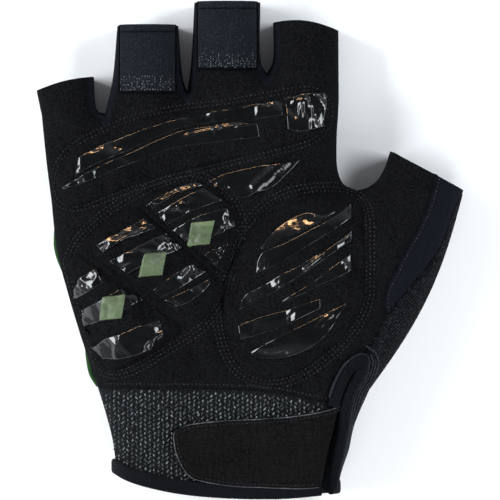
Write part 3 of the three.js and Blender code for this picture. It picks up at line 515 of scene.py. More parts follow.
def wave_table(count, shortest, longest, height):
    """Directions, phases and heights of seeded waves."""
    length = shortest * (longest / shortest) ** rng.random(count)
    turn = rng.random(count) * np.pi
    k = 2 * np.pi / length[:, None] * np.stack([np.cos(turn), np.sin(turn)], axis=1)
    return k, rng.random(count) * 2 * np.pi, height * (length / longest) ** 0.8 / np.sqrt(count)


soft_waves = wave_table(26, 7, 34, 0.6)
small_waves = wave_table(36, 1.6, 5, 0.13)


def waves(xy, table):
    """Sum of sines running in many directions."""
    k, phase, height = table
    return np.sin(xy @ k.T + phase) @ height


def pad_points(pad, at, across):
    """Places of a pad's own frame, turned about its middle."""
    x = np.asarray(at) * pad["length"]
    y = np.asarray(across) * pad["width"]
    turn = np.radians(pad["turn"])
    middle = spot(*pad["at"])
    return np.stack([
        x * np.cos(turn) - y * np.sin(turn) + middle[0],
        x * np.sin(turn) + y * np.cos(turn) + middle[1],
    ], axis=-1)


def pad_edges(pad, at):
    """Low and high edge of a pad at shares of its length, on smooth lines through the rows."""
    rows = np.array(pad["sections"])
    low = smooth(rows[:, [0, 1]], even(200))
    high = smooth(rows[:, [0, 2]], even(200))
    return np.interp(at, low[:, 0], low[:, 1]), np.interp(at, high[:, 0], high[:, 1])


def pad_outline(pad, out):
    """A pad's closed outline, moved outwards by a distance and evened."""
    rows = np.array(pad["sections"])
    at = rows[0, 0] + (rows[-1, 0] - rows[0, 0]) * rounded(60)
    low, high = pad_edges(pad, at)
    loop = np.vstack([pad_points(pad, at, low), pad_points(pad, at, high)[::-1]])
    loop = at_shares(np.vstack([loop, loop[:1]]), even(OUTLINE_POINTS))[:-1]
    kernel = bell(np.arange(-12, 13), 5.0)
    kernel /= kernel.sum()

    def evened(values):
        wide = np.concatenate([values[-12:], values, values[:12]])
        return np.convolve(wide, kernel, mode="valid")

    loop = np.stack([evened(loop[:, 0]), evened(loop[:, 1])], axis=1)
    closed = np.vstack([loop[-1:], loop, loop[:1]])
    out_way = sideways(closed)[1:-1]
    moved = loop + out * out_way
    moved = np.stack([evened(moved[:, 0]), evened(moved[:, 1])], axis=1)
    return at_shares(np.vstack([moved, moved[:1]]), even(OUTLINE_POINTS))


def seam(name):
    """A seam's line."""
    return smooth([spot(*place) for place in SEAMS[name]], even(60))


strip_line = seam("strip")
outer_line = np.vstack([seam("outer"), seam("slit")[1:]])
slit_line = seam("slit")
cuff_line = seam("cuff")

# Rows of stitches and seams: a line, and how deep the thread pulls the cloth down
pad_rows = [
    (pad_outline(pad, out), pull)
    for name, pad in PADS.items()
    for out, pull in zip(ROWS_OUT[name], ROW_PULLS)
]
seam_rows = [
    (strip_line - 1.4 * sideways(strip_line), 0.25), (cuff_line + np.array([0, 1.6]), 0.22),
]
seams = [(strip_line, 0.8), (outer_line, 0.7), (cuff_line, 0.6)]


def line_pull(xy, line, depth, width):
    """A groove along a line: a bell curve of the distance, rippled along the line, and small
    puckers on both sides of it."""
    starts, stops = line[:-1], line[1:]
    d, number, share = nearest(xy, starts, stops)
    run = lengths(line)
    along = run[number] + share * (run[number + 1] - run[number])
    ripple = 1 + 0.25 * np.sin(along * 2 * np.pi / 3.1) + 0.2 * np.sin(along * 2 * np.pi / 7.7 + 1)
    pucker = 0.12 * depth * np.sin(along * 2 * np.pi / 2.9) * bell(d, 2.6)
    return depth * ripple * bell(d, width) + pucker


def relief(xy):
    """Small relief of the palm's cloth: waves, less the deepest of the grooves of the stitches
    and seams."""
    rows = pad_rows + seam_rows + seams
    grooves = [line_pull(xy, line, depth, GROOVE_WIDTH) for line, depth in rows]
    return waves(xy, soft_waves) * 0.55 + waves(xy, small_waves) * 0.3 - np.max(grooves, axis=0)


def domed(xy, at_side=False):
    """Height of the widest line, distance from the side line, and share of the rounding: a
    quarter ellipse of the distance over the radius."""
    top, radius = form(xy)
    d = np.where(at_side, 0, side_distance(xy))
    return top, SIDE_SHARE * top, d, arch(d / radius)


def level(xy):
    """Height of the palm's skin without its small relief."""
    top, middle, _, rise = domed(xy)
    return middle + (top - middle - fold_depth(xy)) * rise


def top_height(xy, at_side=False):
    """Height of the palm's skin: rounded from the widest line up to the top, with its folds
    and small relief, which fade towards the side."""
    top, middle, d, rise = domed(xy, at_side)
    return middle + (top - middle - fold_depth(xy)) * rise + relief(xy) * gate(d, 0.3, 5)


def back_height(xy, at_side=False):
    """Height of the back's skin: rounded down from the widest line, and pressed flat on the
    surface that the glove lies on by a soft maximum with 0."""
    _, middle, _, drop = domed(xy, at_side)
    low = middle - (middle + CRUSH) * drop + waves(xy, soft_waves) * 0.5 * gate(drop, 0.1, 0.7)
    return FLOOR_SOFT * np.log1p(np.exp(np.clip(low / FLOOR_SOFT, -30, 30)))


def filled(bottom, top, left, right, us, vs):
    """A grid between four edges that share their corners (a Coons patch)."""
    u = us[None, :, None]
    v = vs[:, None, None]
    ruled = (1 - u) * left[:, None] + u * right[:, None] + (1 - v) * bottom[None] + v * top[None]
    corners = (1 - u) * (1 - v) * bottom[0] + u * (1 - v) * bottom[-1]
    return ruled - corners - (1 - u) * v * top[0] - u * v * top[-1]


def hand_patches(finger_columns, finger_rows, cuff_rows, thumb_rows, knuckle_rows, thumb_length):
    """The hand shape seen from above, as grids that share their edges."""
    columns = rounded(finger_columns)
    steps = [columns if i == 0 else columns[1:] for i in range(4)]
    knuckle = np.vstack([
        roots[i] + np.outer(t, roots[i + 1] - roots[i]) for i, t in enumerate(steps)
    ])
    us = (knuckle[:, 0] - knuckle[0, 0]) / (knuckle[-1, 0] - knuckle[0, 0])
    cuff = smooth(cuff_edge, us)
    wrist = smooth(wrist_side, even(cuff_rows))
    inside = thumb_base + np.outer(rounded(thumb_rows), crotch - thumb_base)
    index = smooth(index_side, even(knuckle_rows) ** 1.3)
    right = np.vstack([wrist, inside[1:], index[1:]])
    vs = (right[:, 1] - right[0, 1]) / (right[-1, 1] - right[0, 1])
    left_y = little_line[0, 1] + vs * (little_line[-1, 1] - little_line[0, 1])
    left = np.stack([np.interp(left_y, little_line[:, 1], little_line[:, 0]), left_y], axis=1)
    palm = filled(cuff, knuckle, left, right, us, vs)
    on = np.zeros(palm.shape[:2], bool)
    on[:, 0] = True
    on[:cuff_rows + 1, -1] = True
    on[cuff_rows + thumb_rows:, -1] = True
    on[-1, ::finger_columns] = True
    made = [(palm, on, False)]
    for i in range(4):
        rows = even(finger_rows)
        bottom = roots[i] + np.outer(columns, roots[i + 1] - roots[i])
        top = tips[i][0] + np.outer(columns, tips[i][1] - tips[i][0])
        top[:, 1] += FINGERS[i]["bow"] * FINGER_WIDTH * np.sin(np.pi * columns)
        left = at_shares(finger_left[i], rows)
        right = at_shares(finger_right[i], rows)
        grid = filled(bottom, top, left, right, columns, rows)
        on = np.zeros(grid.shape[:2], bool)
        on[:, [0, -1]] = True
        made.append((grid, on, False))
    lengthwise = even(thumb_length)
    across = rounded(thumb_rows)
    end = thumb_ends[1] + np.outer(across, thumb_ends[0] - thumb_ends[1])
    grid = filled(inside, end, thumb_outer(lengthwise), thumb_inner(lengthwise), across, lengthwise)
    on = np.zeros(grid.shape[:2], bool)
    on[:, [0, -1]] = True
    made.append((grid, on, True))
    return made


def grid_faces(rows, columns, flip=False, start=0):
    """Two triangles for each square of a grid."""
    a = (np.arange(rows - 1)[:, None] * columns + np.arange(columns - 1)).ravel() + start
    b, c, d = a + 1, a + columns + 1, a + columns
    faces = np.vstack([np.stack([a, b, c], 1), np.stack([a, c, d], 1)])
    return faces[:, ::-1] if flip else faces


def merged(points, faces):
    """Points that lie together made one, and flat triangles dropped."""
    key = np.round(points[:, :3] / MERGE_STEP + 0.31).astype(np.int64)
    _, first, place = np.unique(key, axis=0, return_index=True, return_inverse=True)
    faces = place.reshape(-1)[faces]
    a, b, c = faces.T
    return points[first], faces[(a != b) & (b != c) & (c != a)]


def point_normals(points, faces):
    """Mean of the normals of the faces that meet at each point."""
    a, b, c = (points[faces[:, k], :3] for k in range(3))
    normal = np.cross(b - a, c - a)
    total = np.stack([
        sum(np.bincount(faces[:, k], normal[:, axis], len(points)) for k in range(3))
        for axis in range(3)
    ], axis=1)
    return unit(total)


def halves(points, faces, value):
    """Faces cut along the line where value is 0: all points, faces above it, faces below it."""
    value = np.where(np.abs(value) < 1e-5, 1e-5, value)
    side = value > 0
    count = side[faces].sum(1)
    mixed = faces[(count == 1) | (count == 2)]
    lone_up = count[(count == 1) | (count == 2)] == 1
    lone = side[mixed] == lone_up[:, None]
    order = (lone.argmax(1)[:, None] + np.arange(3)) % 3
    a, b, c = np.take_along_axis(mixed, order, 1).T
    edges = np.sort(np.vstack([np.stack([a, b], 1), np.stack([a, c], 1)]), axis=1)
    unique, place = np.unique(edges, axis=0, return_inverse=True)
    place = place.reshape(-1)
    share = value[unique[:, 0]] / (value[unique[:, 0]] - value[unique[:, 1]])
    new = points[unique[:, 0]] * (1 - share[:, None]) + points[unique[:, 1]] * share[:, None]
    ab = len(points) + place[:len(a)]
    ac = len(points) + place[len(a):]
    tip = np.stack([a, ab, ac], 1)
    rest = np.vstack([np.stack([ab, b, c], 1), np.stack([ab, c, ac], 1)])
    both = np.concatenate([lone_up, lone_up])
    above = np.vstack([faces[count == 3], tip[lone_up], rest[~both]])
    under = np.vstack([faces[count == 0], tip[~lone_up], rest[both]])
    return np.vstack([points, new]), above, under


def used(points, faces):
    """Only the points that faces use."""
    keep, place = np.unique(faces, return_inverse=True)
    return points[keep], place.reshape(faces.shape)


def walled(outer, inner, faces):
    """A closed body between two copies of a surface."""
    count = len(outer)
    edges = np.vstack([faces[:, [0, 1]], faces[:, [1, 2]], faces[:, [2, 0]]])
    key = edges[:, 0] * count + edges[:, 1]
    open_edges = edges[~np.isin(key, edges[:, 1] * count + edges[:, 0])]
    p, q = open_edges.T
    rim = np.vstack([np.stack([q, p, p + count], 1), np.stack([q, p + count, q + count], 1)])
    return np.vstack([outer, inner]), np.vstack([faces, faces[:, ::-1] + count, rim])


def flat_side(xy, line):
    """Signed distance from a line: positive to the right of the way it runs."""
    d, number, share = nearest(xy, line[:-1], line[1:])
    span = line[1:] - line[:-1]
    off = xy - line[:-1][number]
    return d * np.sign(span[number, 1] * off[:, 0] - span[number, 0] * off[:, 1] + 1e-12)


# Nodes of the materials
def new_material(name):
    """A material, its nodes' maker and its shader."""
    made = bpy.data.materials.new(name)
    made.use_nodes = True
    tree = made.node_tree
    shader = tree.nodes["Principled BSDF"]

    def node(kind, links=None, **values):
        item = tree.nodes.new(kind)
        for key, value in values.items():
            if key.startswith("in_"):
                item.inputs[key[3:].replace("_", " ")].default_value = value
            else:
                setattr(item, key, value)
        for socket, source in (links or {}).items():
            tree.links.new(source, item.inputs[socket])
        return item

    return made, node, shader, tree


def ramp(node, source, stops):
    """A colour or grey ramp."""
    item = node("ShaderNodeValToRGB", {"Fac": source})
    element = item.color_ramp.elements
    while len(element) < len(stops):
        element.new(0.5)
    for slot, (place, colour) in zip(element, stops):
        slot.position = place
        slot.color = (*colour, 1)
    return item.outputs["Color"]


def stretched(node, source, scale, turn):
    """Coordinates scaled, and turned about Z."""
    item = node("ShaderNodeMapping", {"Vector": source})
    item.inputs["Scale"].default_value = scale
    item.inputs["Rotation"].default_value = (0, 0, turn)
    return item.outputs["Vector"]


def bumped(node, tree, shader, layers):
    """Bumps over each other: (height, strength, distance)."""
    last = None
    for height, strength, distance in layers:
        item = node("ShaderNodeBump", {"Height": height})
        item.inputs["Strength"].default_value = strength
        item.inputs["Distance"].default_value = distance
        if last is not None:
            tree.links.new(last, item.inputs["Normal"])
        last = item.outputs["Normal"]
    tree.links.new(last, shader.inputs["Normal"])


def suede(name, dark, light, sheen):
    """Short nap: fine noise in colour and bump, patches where the nap lies another way."""
    made, node, shader, tree = new_material(name)
    place = node("ShaderNodeTexCoord").outputs["Object"]
    fine = node("ShaderNodeTexNoise", {"Vector": place}, in_Scale=1500, in_Detail=4)
    patch = node(
        "ShaderNodeTexNoise", {"Vector": place}, in_Scale=75, in_Detail=5, in_Roughness=0.6
    )
    both = {"A": fine.outputs["Fac"], "B": patch.outputs["Fac"]}
    mixed = node("ShaderNodeMix", both, data_type="FLOAT")
    mixed.inputs["Factor"].default_value = 0.25
    tint = ramp(node, mixed.outputs[0], [(0.33, dark), (0.67, light)])
    tree.links.new(tint, shader.inputs["Base Color"])
    rough = ramp(node, patch.outputs["Fac"], [(0.3, (0.82,) * 3), (0.7, (0.97,) * 3)])
    tree.links.new(rough, shader.inputs["Roughness"])
    shader.inputs["Sheen Weight"].default_value = sheen
    shader.inputs["Sheen Roughness"].default_value = 0.5
    shader.inputs["Sheen Tint"].default_value = (0.8, 0.86, 1, 1)
    shader.inputs["Specular IOR Level"].default_value = 0.015
    nap, patches = (fine.outputs["Fac"], 0.6, 0.0004), (patch.outputs["Fac"], 0.4, 0.001)
    bumped(node, tree, shader, [nap, patches])
    return made


def weave(name, dark, light, pitch, fleck=0.0, sheen=0.1, rough=0.85, depth=0.0003):
    """Crossing yarns: two sine waves multiplied, with flecks from a fine noise."""
    made, node, shader, tree = new_material(name)
    place = node("ShaderNodeTexCoord").outputs["Object"]
    turn = 2 * np.pi / pitch
    parts = node("ShaderNodeSeparateXYZ", {"Vector": place})
    sines = []
    for axis in ("X", "Y"):
        times = node("ShaderNodeMath", {0: parts.outputs[axis]}, operation="MULTIPLY")
        times.inputs[1].default_value = turn
        sines.append(node("ShaderNodeMath", {0: times.outputs[0]}, operation="SINE").outputs[0])
    cross = node("ShaderNodeMath", {0: sines[0], 1: sines[1]}, operation="MULTIPLY")
    raised = node("ShaderNodeMapRange", {"Value": cross.outputs[0]})
    raised.inputs["From Min"].default_value = -1
    speck = node("ShaderNodeTexNoise", {"Vector": place}, in_Scale=1400, in_Detail=3)
    grain = ramp(node, speck.outputs["Fac"], [(0.5, (0, 0, 0)), (0.68, (1, 1, 1))])
    mix = node("ShaderNodeMix", {"A": raised.outputs[0], "B": grain}, data_type="FLOAT")
    mix.inputs["Factor"].default_value = fleck
    tint = ramp(node, mix.outputs[0], [(0.1, dark), (0.9, light)])
    tree.links.new(tint, shader.inputs["Base Color"])
    shader.inputs["Roughness"].default_value = rough
    shader.inputs["Sheen Weight"].default_value = sheen
    shader.inputs["Specular IOR Level"].default_value = 0.03
    fibres, yarns = (speck.outputs["Fac"], 0.4, 0.0003), (raised.outputs[0], 0.7, depth)
    bumped(node, tree, shader, [fibres, yarns])
    return made


def gloss(name, colour, rough, crinkle):
    """Printed gel film: nearly mirror smooth, with crinkles and a fine dust of dots."""
    made, node, shader, tree = new_material(name)
    place = node("ShaderNodeTexCoord").outputs["Object"]
    along = stretched(node, place, (1, 2.4, 1), 0.45)
    big = node(
        "ShaderNodeTexNoise", {"Vector": along}, in_Scale=120, in_Detail=3, in_Distortion=0.6
    )
    small = node("ShaderNodeTexNoise", {"Vector": along}, in_Scale=520, in_Detail=2)
    tint = ramp(node, big.outputs["Fac"], [(0.35, colour), (0.75, tuple(2.2 * c for c in colour))])
    tree.links.new(tint, shader.inputs["Base Color"])
    smear = ramp(node, small.outputs["Fac"], [(0.35, (rough,) * 3), (0.75, (rough * 2.2,) * 3)])
    tree.links.new(smear, shader.inputs["Roughness"])
    shader.inputs["Specular IOR Level"].default_value = 0.42
    fine_bump = (small.outputs["Fac"], crinkle * 0.3, 0.0003)
    bumped(node, tree, shader, [(big.outputs["Fac"], crinkle, 0.001), fine_bump])
    return made


palm_suede = suede("black_suede", (0.0012, 0.00125, 0.0014), (0.0082, 0.0083, 0.0092), 0.003)
strap_cloth = suede("strap_cloth", (0.0018, 0.00175, 0.0018), (0.0088, 0.0085, 0.0086), 0.003)

# Woven cloths: name, dark and light yarn, pitch, flecks, sheen, roughness and depth
(
    back_cloth, navy_stretch, terry, knit_ground, tape, webbing, thread, tape_edge_highlight, dark_thread_and_shade,
    light_thread, green,
) = (
    weave(*row) for row in (
        ("back_stretch_cloth",
         (0.003, 0.003, 0.004), (0.011, 0.011, 0.0135), 0.0011, 0.3, 0.006),
        ("navy_stretch_cloth",
         (0.0032, 0.0038, 0.0058), (0.0082, 0.0098, 0.015), 0.0009, 0.25, 0.005),
        ("terry_cloth",
         (0.001, 0.0012, 0.0015), (0.024, 0.027, 0.032), 0.0012, 0.65, 0.01, 0.95, 0.0008),
        ("knit_ground",
         (0.002, 0.0025, 0.0028), (0.018, 0.021, 0.023), 0.0012, 0.5, 0.01, 0.9, 0.0004),
        ("binding_tape",
         (0.0018, 0.0021, 0.0029), (0.0075, 0.0085, 0.0115), 0.0008, 0.3, 0.006, 0.7),
        ("grey_webbing",
         (0.0015, 0.002, 0.003), (0.0235, 0.029, 0.0365), 0.0009, 0.35, 0.01, 0.8, 0.0004),
        ("sewing_thread",
         (0.006, 0.0063, 0.0075), (0.038, 0.04, 0.045), 0.0009, 0.6, 0.02, 0.55),
        # Lighter than the binding tape: painted highlight on the slit's folded edges
        ("tape_edge_highlight",
         (0.006, 0.007, 0.0095), (0.04, 0.046, 0.056), 0.0008, 0.4, 0.015, 0.6),
        # Dark thread of the tabs' stitched lines; its tubes along the tabs' edges are painted shade
        ("dark_thread_and_shade",
         (0.0008, 0.0009, 0.0012), (0.003, 0.0032, 0.004), 0.0005, 0.3, 0.003, 0.7),
        ("light_thread",
         (0.03, 0.032, 0.036), (0.16, 0.168, 0.18), 0.0007, 0.5, 0.02, 0.55),
        ("green_piping",
         (0.012, 0.035, 0.01), (0.035, 0.1, 0.028), 0.0007, 0.3, 0.02, 0.7),
    )
)
gloss_black = gloss("gloss_print", (0.002, 0.0021, 0.0024), 0.07, 0.1)
olive = gloss("olive_print", (0.045, 0.065, 0.031), 0.38, 0.1)


def flecked(name, dark, middle, light, size):
    """Yarn of mixed fibres: a noise as coarse as one loop picks dark, middle or light."""
    made, node, shader, tree = new_material(name)
    place = node("ShaderNodeTexCoord").outputs["Object"]
    loop = node("ShaderNodeTexNoise", {"Vector": place}, in_Scale=1 / size, in_Detail=2)
    fibre = node("ShaderNodeTexNoise", {"Vector": place}, in_Scale=2600, in_Detail=2)
    stops = [(0.34, dark), (0.52, middle), (0.66, light)]
    tree.links.new(ramp(node, loop.outputs["Fac"], stops), shader.inputs["Base Color"])
    shader.inputs["Roughness"].default_value = 0.75
    shader.inputs["Sheen Weight"].default_value = 0.03
    shader.inputs["Specular IOR Level"].default_value = 0.08
    bumped(node, tree, shader, [(fibre.outputs["Fac"], 0.5, 0.0002)])
    return made


knit = flecked(
    "flecked_knit", (0.015, 0.0175, 0.019), (0.05, 0.056, 0.058), (0.15, 0.16, 0.16), 0.0013
)


def put(name, points, faces, material, slot, nodes=()):
    """A mesh object in metres, finished, riding on the glove and standing for its nodes."""
    mesh = bpy.data.meshes.new(name)
    mesh.vertices.add(len(points))
    mesh.vertices.foreach_set("co", (points[:, :3] * MM).astype(np.float32).ravel())
    width = faces.shape[1]
    mesh.loops.add(faces.size)
    mesh.loops.foreach_set("vertex_index", faces.astype(np.int32).ravel())
    mesh.polygons.add(len(faces))
    mesh.polygons.foreach_set("loop_start", np.arange(len(faces), dtype=np.int32) * width)
    mesh.polygons.foreach_set("loop_total", np.full(len(faces), width, dtype=np.int32))
    mesh.update(calc_edges=True)
    mesh.validate()
    mesh.polygons.foreach_set("use_smooth", np.full(len(mesh.polygons), True))
    mesh.materials.append(material)
    piece = bpy.data.objects.new(name, mesh)
    bpy.context.scene.collection.objects.link(piece)
    if slot:
        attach(piece, "root")
        if nodes:
            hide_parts(*nodes)
    return piece


# The skin of the hand shape: columns are place, normal, and the plan place that it came from
patches = hand_patches(48, 44, 50, 76, 56, 56)
top_points, back_points, top_faces, back_faces = [], [], [], []
start = 0
for grid, on, flip in patches:
    xy = grid.reshape(-1, 2)
    top_points.append(np.column_stack([xy, top_height(xy, on.ravel())]))
    back_points.append(np.column_stack([xy, back_height(xy, on.ravel())]))
    top_faces.append(grid_faces(*grid.shape[:2], flip, start))
    back_faces.append(grid_faces(*grid.shape[:2], not flip, start))
    start += len(xy)
points = np.vstack(top_points + back_points)
faces = np.vstack(top_faces + [f + start for f in back_faces])
points, faces = merged(points, faces)
skin = np.hstack([points, point_normals(points, faces)])


def panel(name, points, faces, material, slot, nodes, lift=0.0):
    """A panel of the skin with its wall thickness, closed round its edges."""
    points, faces = used(points, faces)
    outer = points[:, :3] + lift * points[:, 3:6]
    inner = points[:, :3] - WALL * points[:, 3:6]
    body, all_faces = walled(outer, inner, faces)
    return put(name, body, all_faces, material, slot, nodes)


def web_value(xy, i):
    """Above 0 on the strip between two fingers: within its width of their sides, or inside a
    half ellipse below the fork."""
    inner = finger_right[i][::2]
    outer = finger_left[i + 1][::2]
    d = nearest(xy, *stretches([inner, outer]))[0]
    off = xy - webs[i]
    tongue = 1 - np.sqrt((off[:, 0] / WEB_WIDTH) ** 2 + (off[:, 1] / WEB_DEPTH) ** 2)
    return np.maximum(WEB_WIDTH - d, tongue * WEB_WIDTH)


cuff_value = np.interp(skin[:, 0], cuff_line[:, 0], cuff_line[:, 1]) - skin[:, 1]
skin, cuff_faces, hand_faces = halves(skin, faces, cuff_value)
for i in range(3):
    skin, web_faces, hand_faces = halves(skin, hand_faces, web_value(skin[:, :2], i))
    strip = (f"fork_strip_{i + 1}", f"web_strip_{i + 1}")
    panel(strip[0], skin, web_faces, navy_stretch, "stretch_cloth", [strip[1]], lift=-0.15)
skin, upper_faces, back_side = halves(skin, hand_faces, skin[:, 2] - BACK_SEAM)
panel("back_cloth", skin, back_side, back_cloth, "back_cloth", ["back_panel"])


def slit_value(xy):
    """Above 0 inside the wrist's slit, which is half as wide at its head."""
    d, number, share = nearest(xy, slit_line[:-1], slit_line[1:])
    along = (number + share) / (len(slit_line) - 1)
    return SLIT_WIDTH / 2 * np.minimum(1, 0.5 + 3 * along) - d


skin, outer_faces, upper_faces = halves(skin, upper_faces, flat_side(skin[:, :2], outer_line[::-1]))
strip_value = np.minimum(flat_side(skin[:, :2], strip_line[::-1]), skin[:, 1] - strip_line[-1, 1])
skin, strip_faces, palm_faces = halves(skin, upper_faces, strip_value)
skin, _, palm_faces = halves(skin, palm_faces, slit_value(skin[:, :2]))
skin, _, outer_faces = halves(skin, outer_faces, slit_value(skin[:, :2]))
cuff_slit = np.minimum(slit_value(skin[:, :2]), skin[:, 2] - BACK_SEAM)
skin, _, cuff_faces = halves(skin, cuff_faces, cuff_slit)
panel("palm_suede", skin, palm_faces, palm_suede, "suede", ["palm_panel"])
panel("thumb_side_terry", skin, outer_faces, terry, "terry", ["thumb_outer_panel"], lift=0.1)
strip_cloth = (navy_stretch, "stretch_cloth")
panel("thumb_stretch", skin, strip_faces, *strip_cloth, ["thumb_stretch_strip"], lift=-0.1)
panel("cuff_knit", skin, cuff_faces, knit_ground, "knit", ["cuff_band"], lift=0.05)


def ring_faces(n, m):
    """Faces of n rings of m points, closed at both ends on two more points."""
    i, j = np.arange(n - 1)[:, None] * m, np.arange(m)
    after = (j + 1) % m
    a, b = (i + j).ravel(), (i + after).ravel()
    last = (n - 1) * m
    return np.vstack([
        np.stack([a, a + m, b + m], 1), np.stack([a, b + m, b], 1),
        np.stack([np.full(m, n * m), j, after], 1),
        np.stack([np.full(m, n * m + 1), last + after, last + j], 1),
    ])


def swept(path, side, up, profile):
    """A profile carried along a path: each ring is the path's point plus the profile's two
    coordinates along that point's side and up directions. Its ends are closed."""
    rings = path[:, None] + profile[None, :, :1] * side[:, None]
    rings = rings + profile[None, :, 1:] * up[:, None]
    points = np.vstack([rings.reshape(-1, 3), rings[0].mean(0), rings[-1].mean(0)])
    return points, ring_faces(len(path), len(profile))


def frames(path):
    """Side and up directions along a path, with up kept as near to Z as it can be."""
    along = unit(np.gradient(path, axis=0))
    side = unit(np.cross(along, [0, 0, 1.0]))
    return side, np.cross(side, along)


def tube(path, profile):
    """A profile carried along a path, kept upright."""
    return swept(path, *frames(path), profile)


def above(xy, lift):
    """Places above the palm's skin."""
    return np.column_stack([xy, level(xy) + lift])


def oval(wide, high, n, power=1.0):
    """A closed oval profile: an ellipse, or squarer where the power is under 1."""
    t = np.arange(n) / n * 2 * np.pi
    c, s = np.cos(t), np.sin(t)
    return np.stack([wide * np.sign(c) * abs(c) ** power, high * np.sign(s) * abs(s) ** power], 1)


def grid_normals(grid):
    """Normals of a grid of places."""
    du = np.gradient(grid, axis=1)
    dv = np.gradient(grid, axis=0)
    return unit(np.cross(du, dv))


# Pads
def pad_cell(pad, cell):
    """A cell's grid: shares along it, its two edges, and its places. Its ends are rounded off
    by quarter circles, and its height rises as a quarter ellipse from the rim and then crowns."""
    name, first, last, columns, rows = cell
    us, vs = rounded(columns), rounded(rows)
    at = first + (last - first) * us
    low, high = pad_edges(pad, at)
    for end in (0, -1):
        corner = min(CELL_CORNER, 0.42 * (high[end] - low[end]) * pad["width"])
        d = np.minimum(abs(at - at[end]) * pad["length"], corner)
        cut = (corner - np.sqrt(corner**2 - (corner - d) ** 2)) / pad["width"]
        low, high = low + cut, high - cut
    across = low + (high - low) * vs[:, None]
    start_slant, end_slant = pad["slants"].get(name, (0, 0))
    slanted = at + (start_slant + (end_slant - start_slant) * us) * across
    xy = pad_points(pad, slanted, across)
    rim = border(xy)
    flat = xy.reshape(-1, 2)
    d = off_line(flat, rim)
    crown = np.outer(1 - abs(2 * vs - 1) ** 2.6, 1 - abs(2 * us - 1) ** 2.6).ravel()
    step, radius = pad["rim"]
    swell = 0.35 * gate(d, 0, 11) + 0.45 * crown
    height = 0.1 + step * arch(d / radius) + pad["swell"] * swell
    z = level(flat) + height + 0.3 * waves(flat, small_waves) * gate(d, 0.3, 2.5)
    grid = np.column_stack([flat, z]).reshape(*across.shape, 3)
    return dict(
        name=name, us=us, vs=vs, first=first, last=last, low=low, high=high, grid=grid,
        slant=(start_slant, end_slant),
    )


def puffed(made):
    """The cell's grid after a short cloth simulation: its rim is pinned and air presses from
    within. No point moves further than PUFF_MOST."""
    coarse = made["grid"][::2, ::2]
    rows, columns = coarse.shape[:2]
    sheet = (coarse.reshape(-1, 3), grid_faces(rows, columns))
    piece = put(made["name"] + "_air", *sheet, palm_suede, None)
    group = piece.vertex_groups.new(name="rim")
    i, j = np.indices((rows, columns))
    rim = (i == 0) | (j == 0) | (i == rows - 1) | (j == columns - 1)
    group.add([int(k) for k in np.flatnonzero(rim.ravel())], 1, "REPLACE")
    cloth = piece.modifiers.new("air", "CLOTH")
    cloth.settings.quality = 6
    cloth.settings.mass = 0.25
    cloth.settings.tension_stiffness = 12
    cloth.settings.compression_stiffness = 12
    cloth.settings.bending_stiffness = 0.35
    cloth.settings.shrink_min = -0.035
    cloth.settings.use_pressure = True
    cloth.settings.uniform_pressure_force = 4
    cloth.settings.vertex_group_mass = "rim"
    cloth.settings.effector_weights.gravity = 0
    cloth.point_cache.frame_start = 1
    cloth.point_cache.frame_end = PUFF_STEPS
    for step in range(1, PUFF_STEPS + 1):
        bpy.context.scene.frame_set(step)
    blown = piece.evaluated_get(bpy.context.evaluated_depsgraph_get()).data
    found = np.empty(len(blown.vertices) * 3, np.float32)
    blown.vertices.foreach_get("co", found)
    moved = found.reshape(coarse.shape) / MM - coarse
    bpy.data.objects.remove(piece)
    bpy.context.scene.frame_set(1)
    far = np.linalg.norm(moved, axis=2, keepdims=True)
    moved *= np.minimum(1, PUFF_MOST / np.maximum(far, 1e-9))
    us, vs = made["us"], made["vs"]
    wide = np.stack([
        np.stack([np.interp(us, us[::2], row) for row in moved[..., axis]]) for axis in range(3)
    ], axis=2)
    full = np.stack([
        np.stack([np.interp(vs, vs[::2], column) for column in wide[..., axis].T]).T
        for axis in range(3)
    ], axis=2)
    return made["grid"] + full


def closed_sheet(top, drop):
    """A body between a grid and its copy lower down."""
    rows, columns = top.shape[:2]
    outer = top.reshape(-1, 3)
    return walled(outer, outer - np.array([0, 0, 1.0]) * drop, grid_faces(rows, columns))


cells = {}
for name, (pad, cell) in CELLS.items():
    made = pad_cell(pad, cell)
    made["grid"] = puffed(made)
    made["normals"] = grid_normals(made["grid"])
    cells[name] = made
    base = made["grid"].copy()
    base[..., 2] = level(base[..., :2].reshape(-1, 2)).reshape(base.shape[:2]) - PAD_FOOT
    body = walled(made["grid"].reshape(-1, 3), base.reshape(-1, 3), grid_faces(*base.shape[:2]))
    piece = put(name.replace("pad", "padding"), *body, palm_suede, "suede", [name])


def on_grid(grid, i, j):
    """Values of a grid between its rows and columns, linearly."""
    rows, columns = grid.shape[:2]
    i = np.clip(i, 0, rows - 1.001)
    j = np.clip(j, 0, columns - 1.001)
    a, b = i.astype(int), j.astype(int)
    s, t = (i - a)[..., None], (j - b)[..., None]
    low = grid[a, b] * (1 - t) + grid[a, b + 1] * t
    return low * (1 - s) + (grid[a + 1, b] * (1 - t) + grid[a + 1, b + 1] * t) * s


def on_cell(name, at, across):
    """Place and normal on a pad cell, or on the palm where there is no cell."""
    if name is None:
        xy = pad_points(LENS, at, across)
        flat = xy.reshape(-1, 2)
        place = np.column_stack([flat, top_height(flat) + 0.1]).reshape(*xy.shape[:-1], 3)
        return place, grid_normals(place)
    made = cells[name]
    first, span = made["first"], made["last"] - made["first"]
    a, b = made["slant"]
    u = (at - first - a * across) / (span + (b - a) * across)
    j = np.interp(u, made["us"], np.arange(len(made["us"])))
    column = np.arange(len(made["us"]))
    low = np.interp(j, column, made["low"])
    high = np.interp(j, column, made["high"])
    i = np.interp((across - low) / (high - low), made["vs"], np.arange(len(made["vs"])))
    return on_grid(made["grid"], i, j), on_grid(made["normals"], i, j)


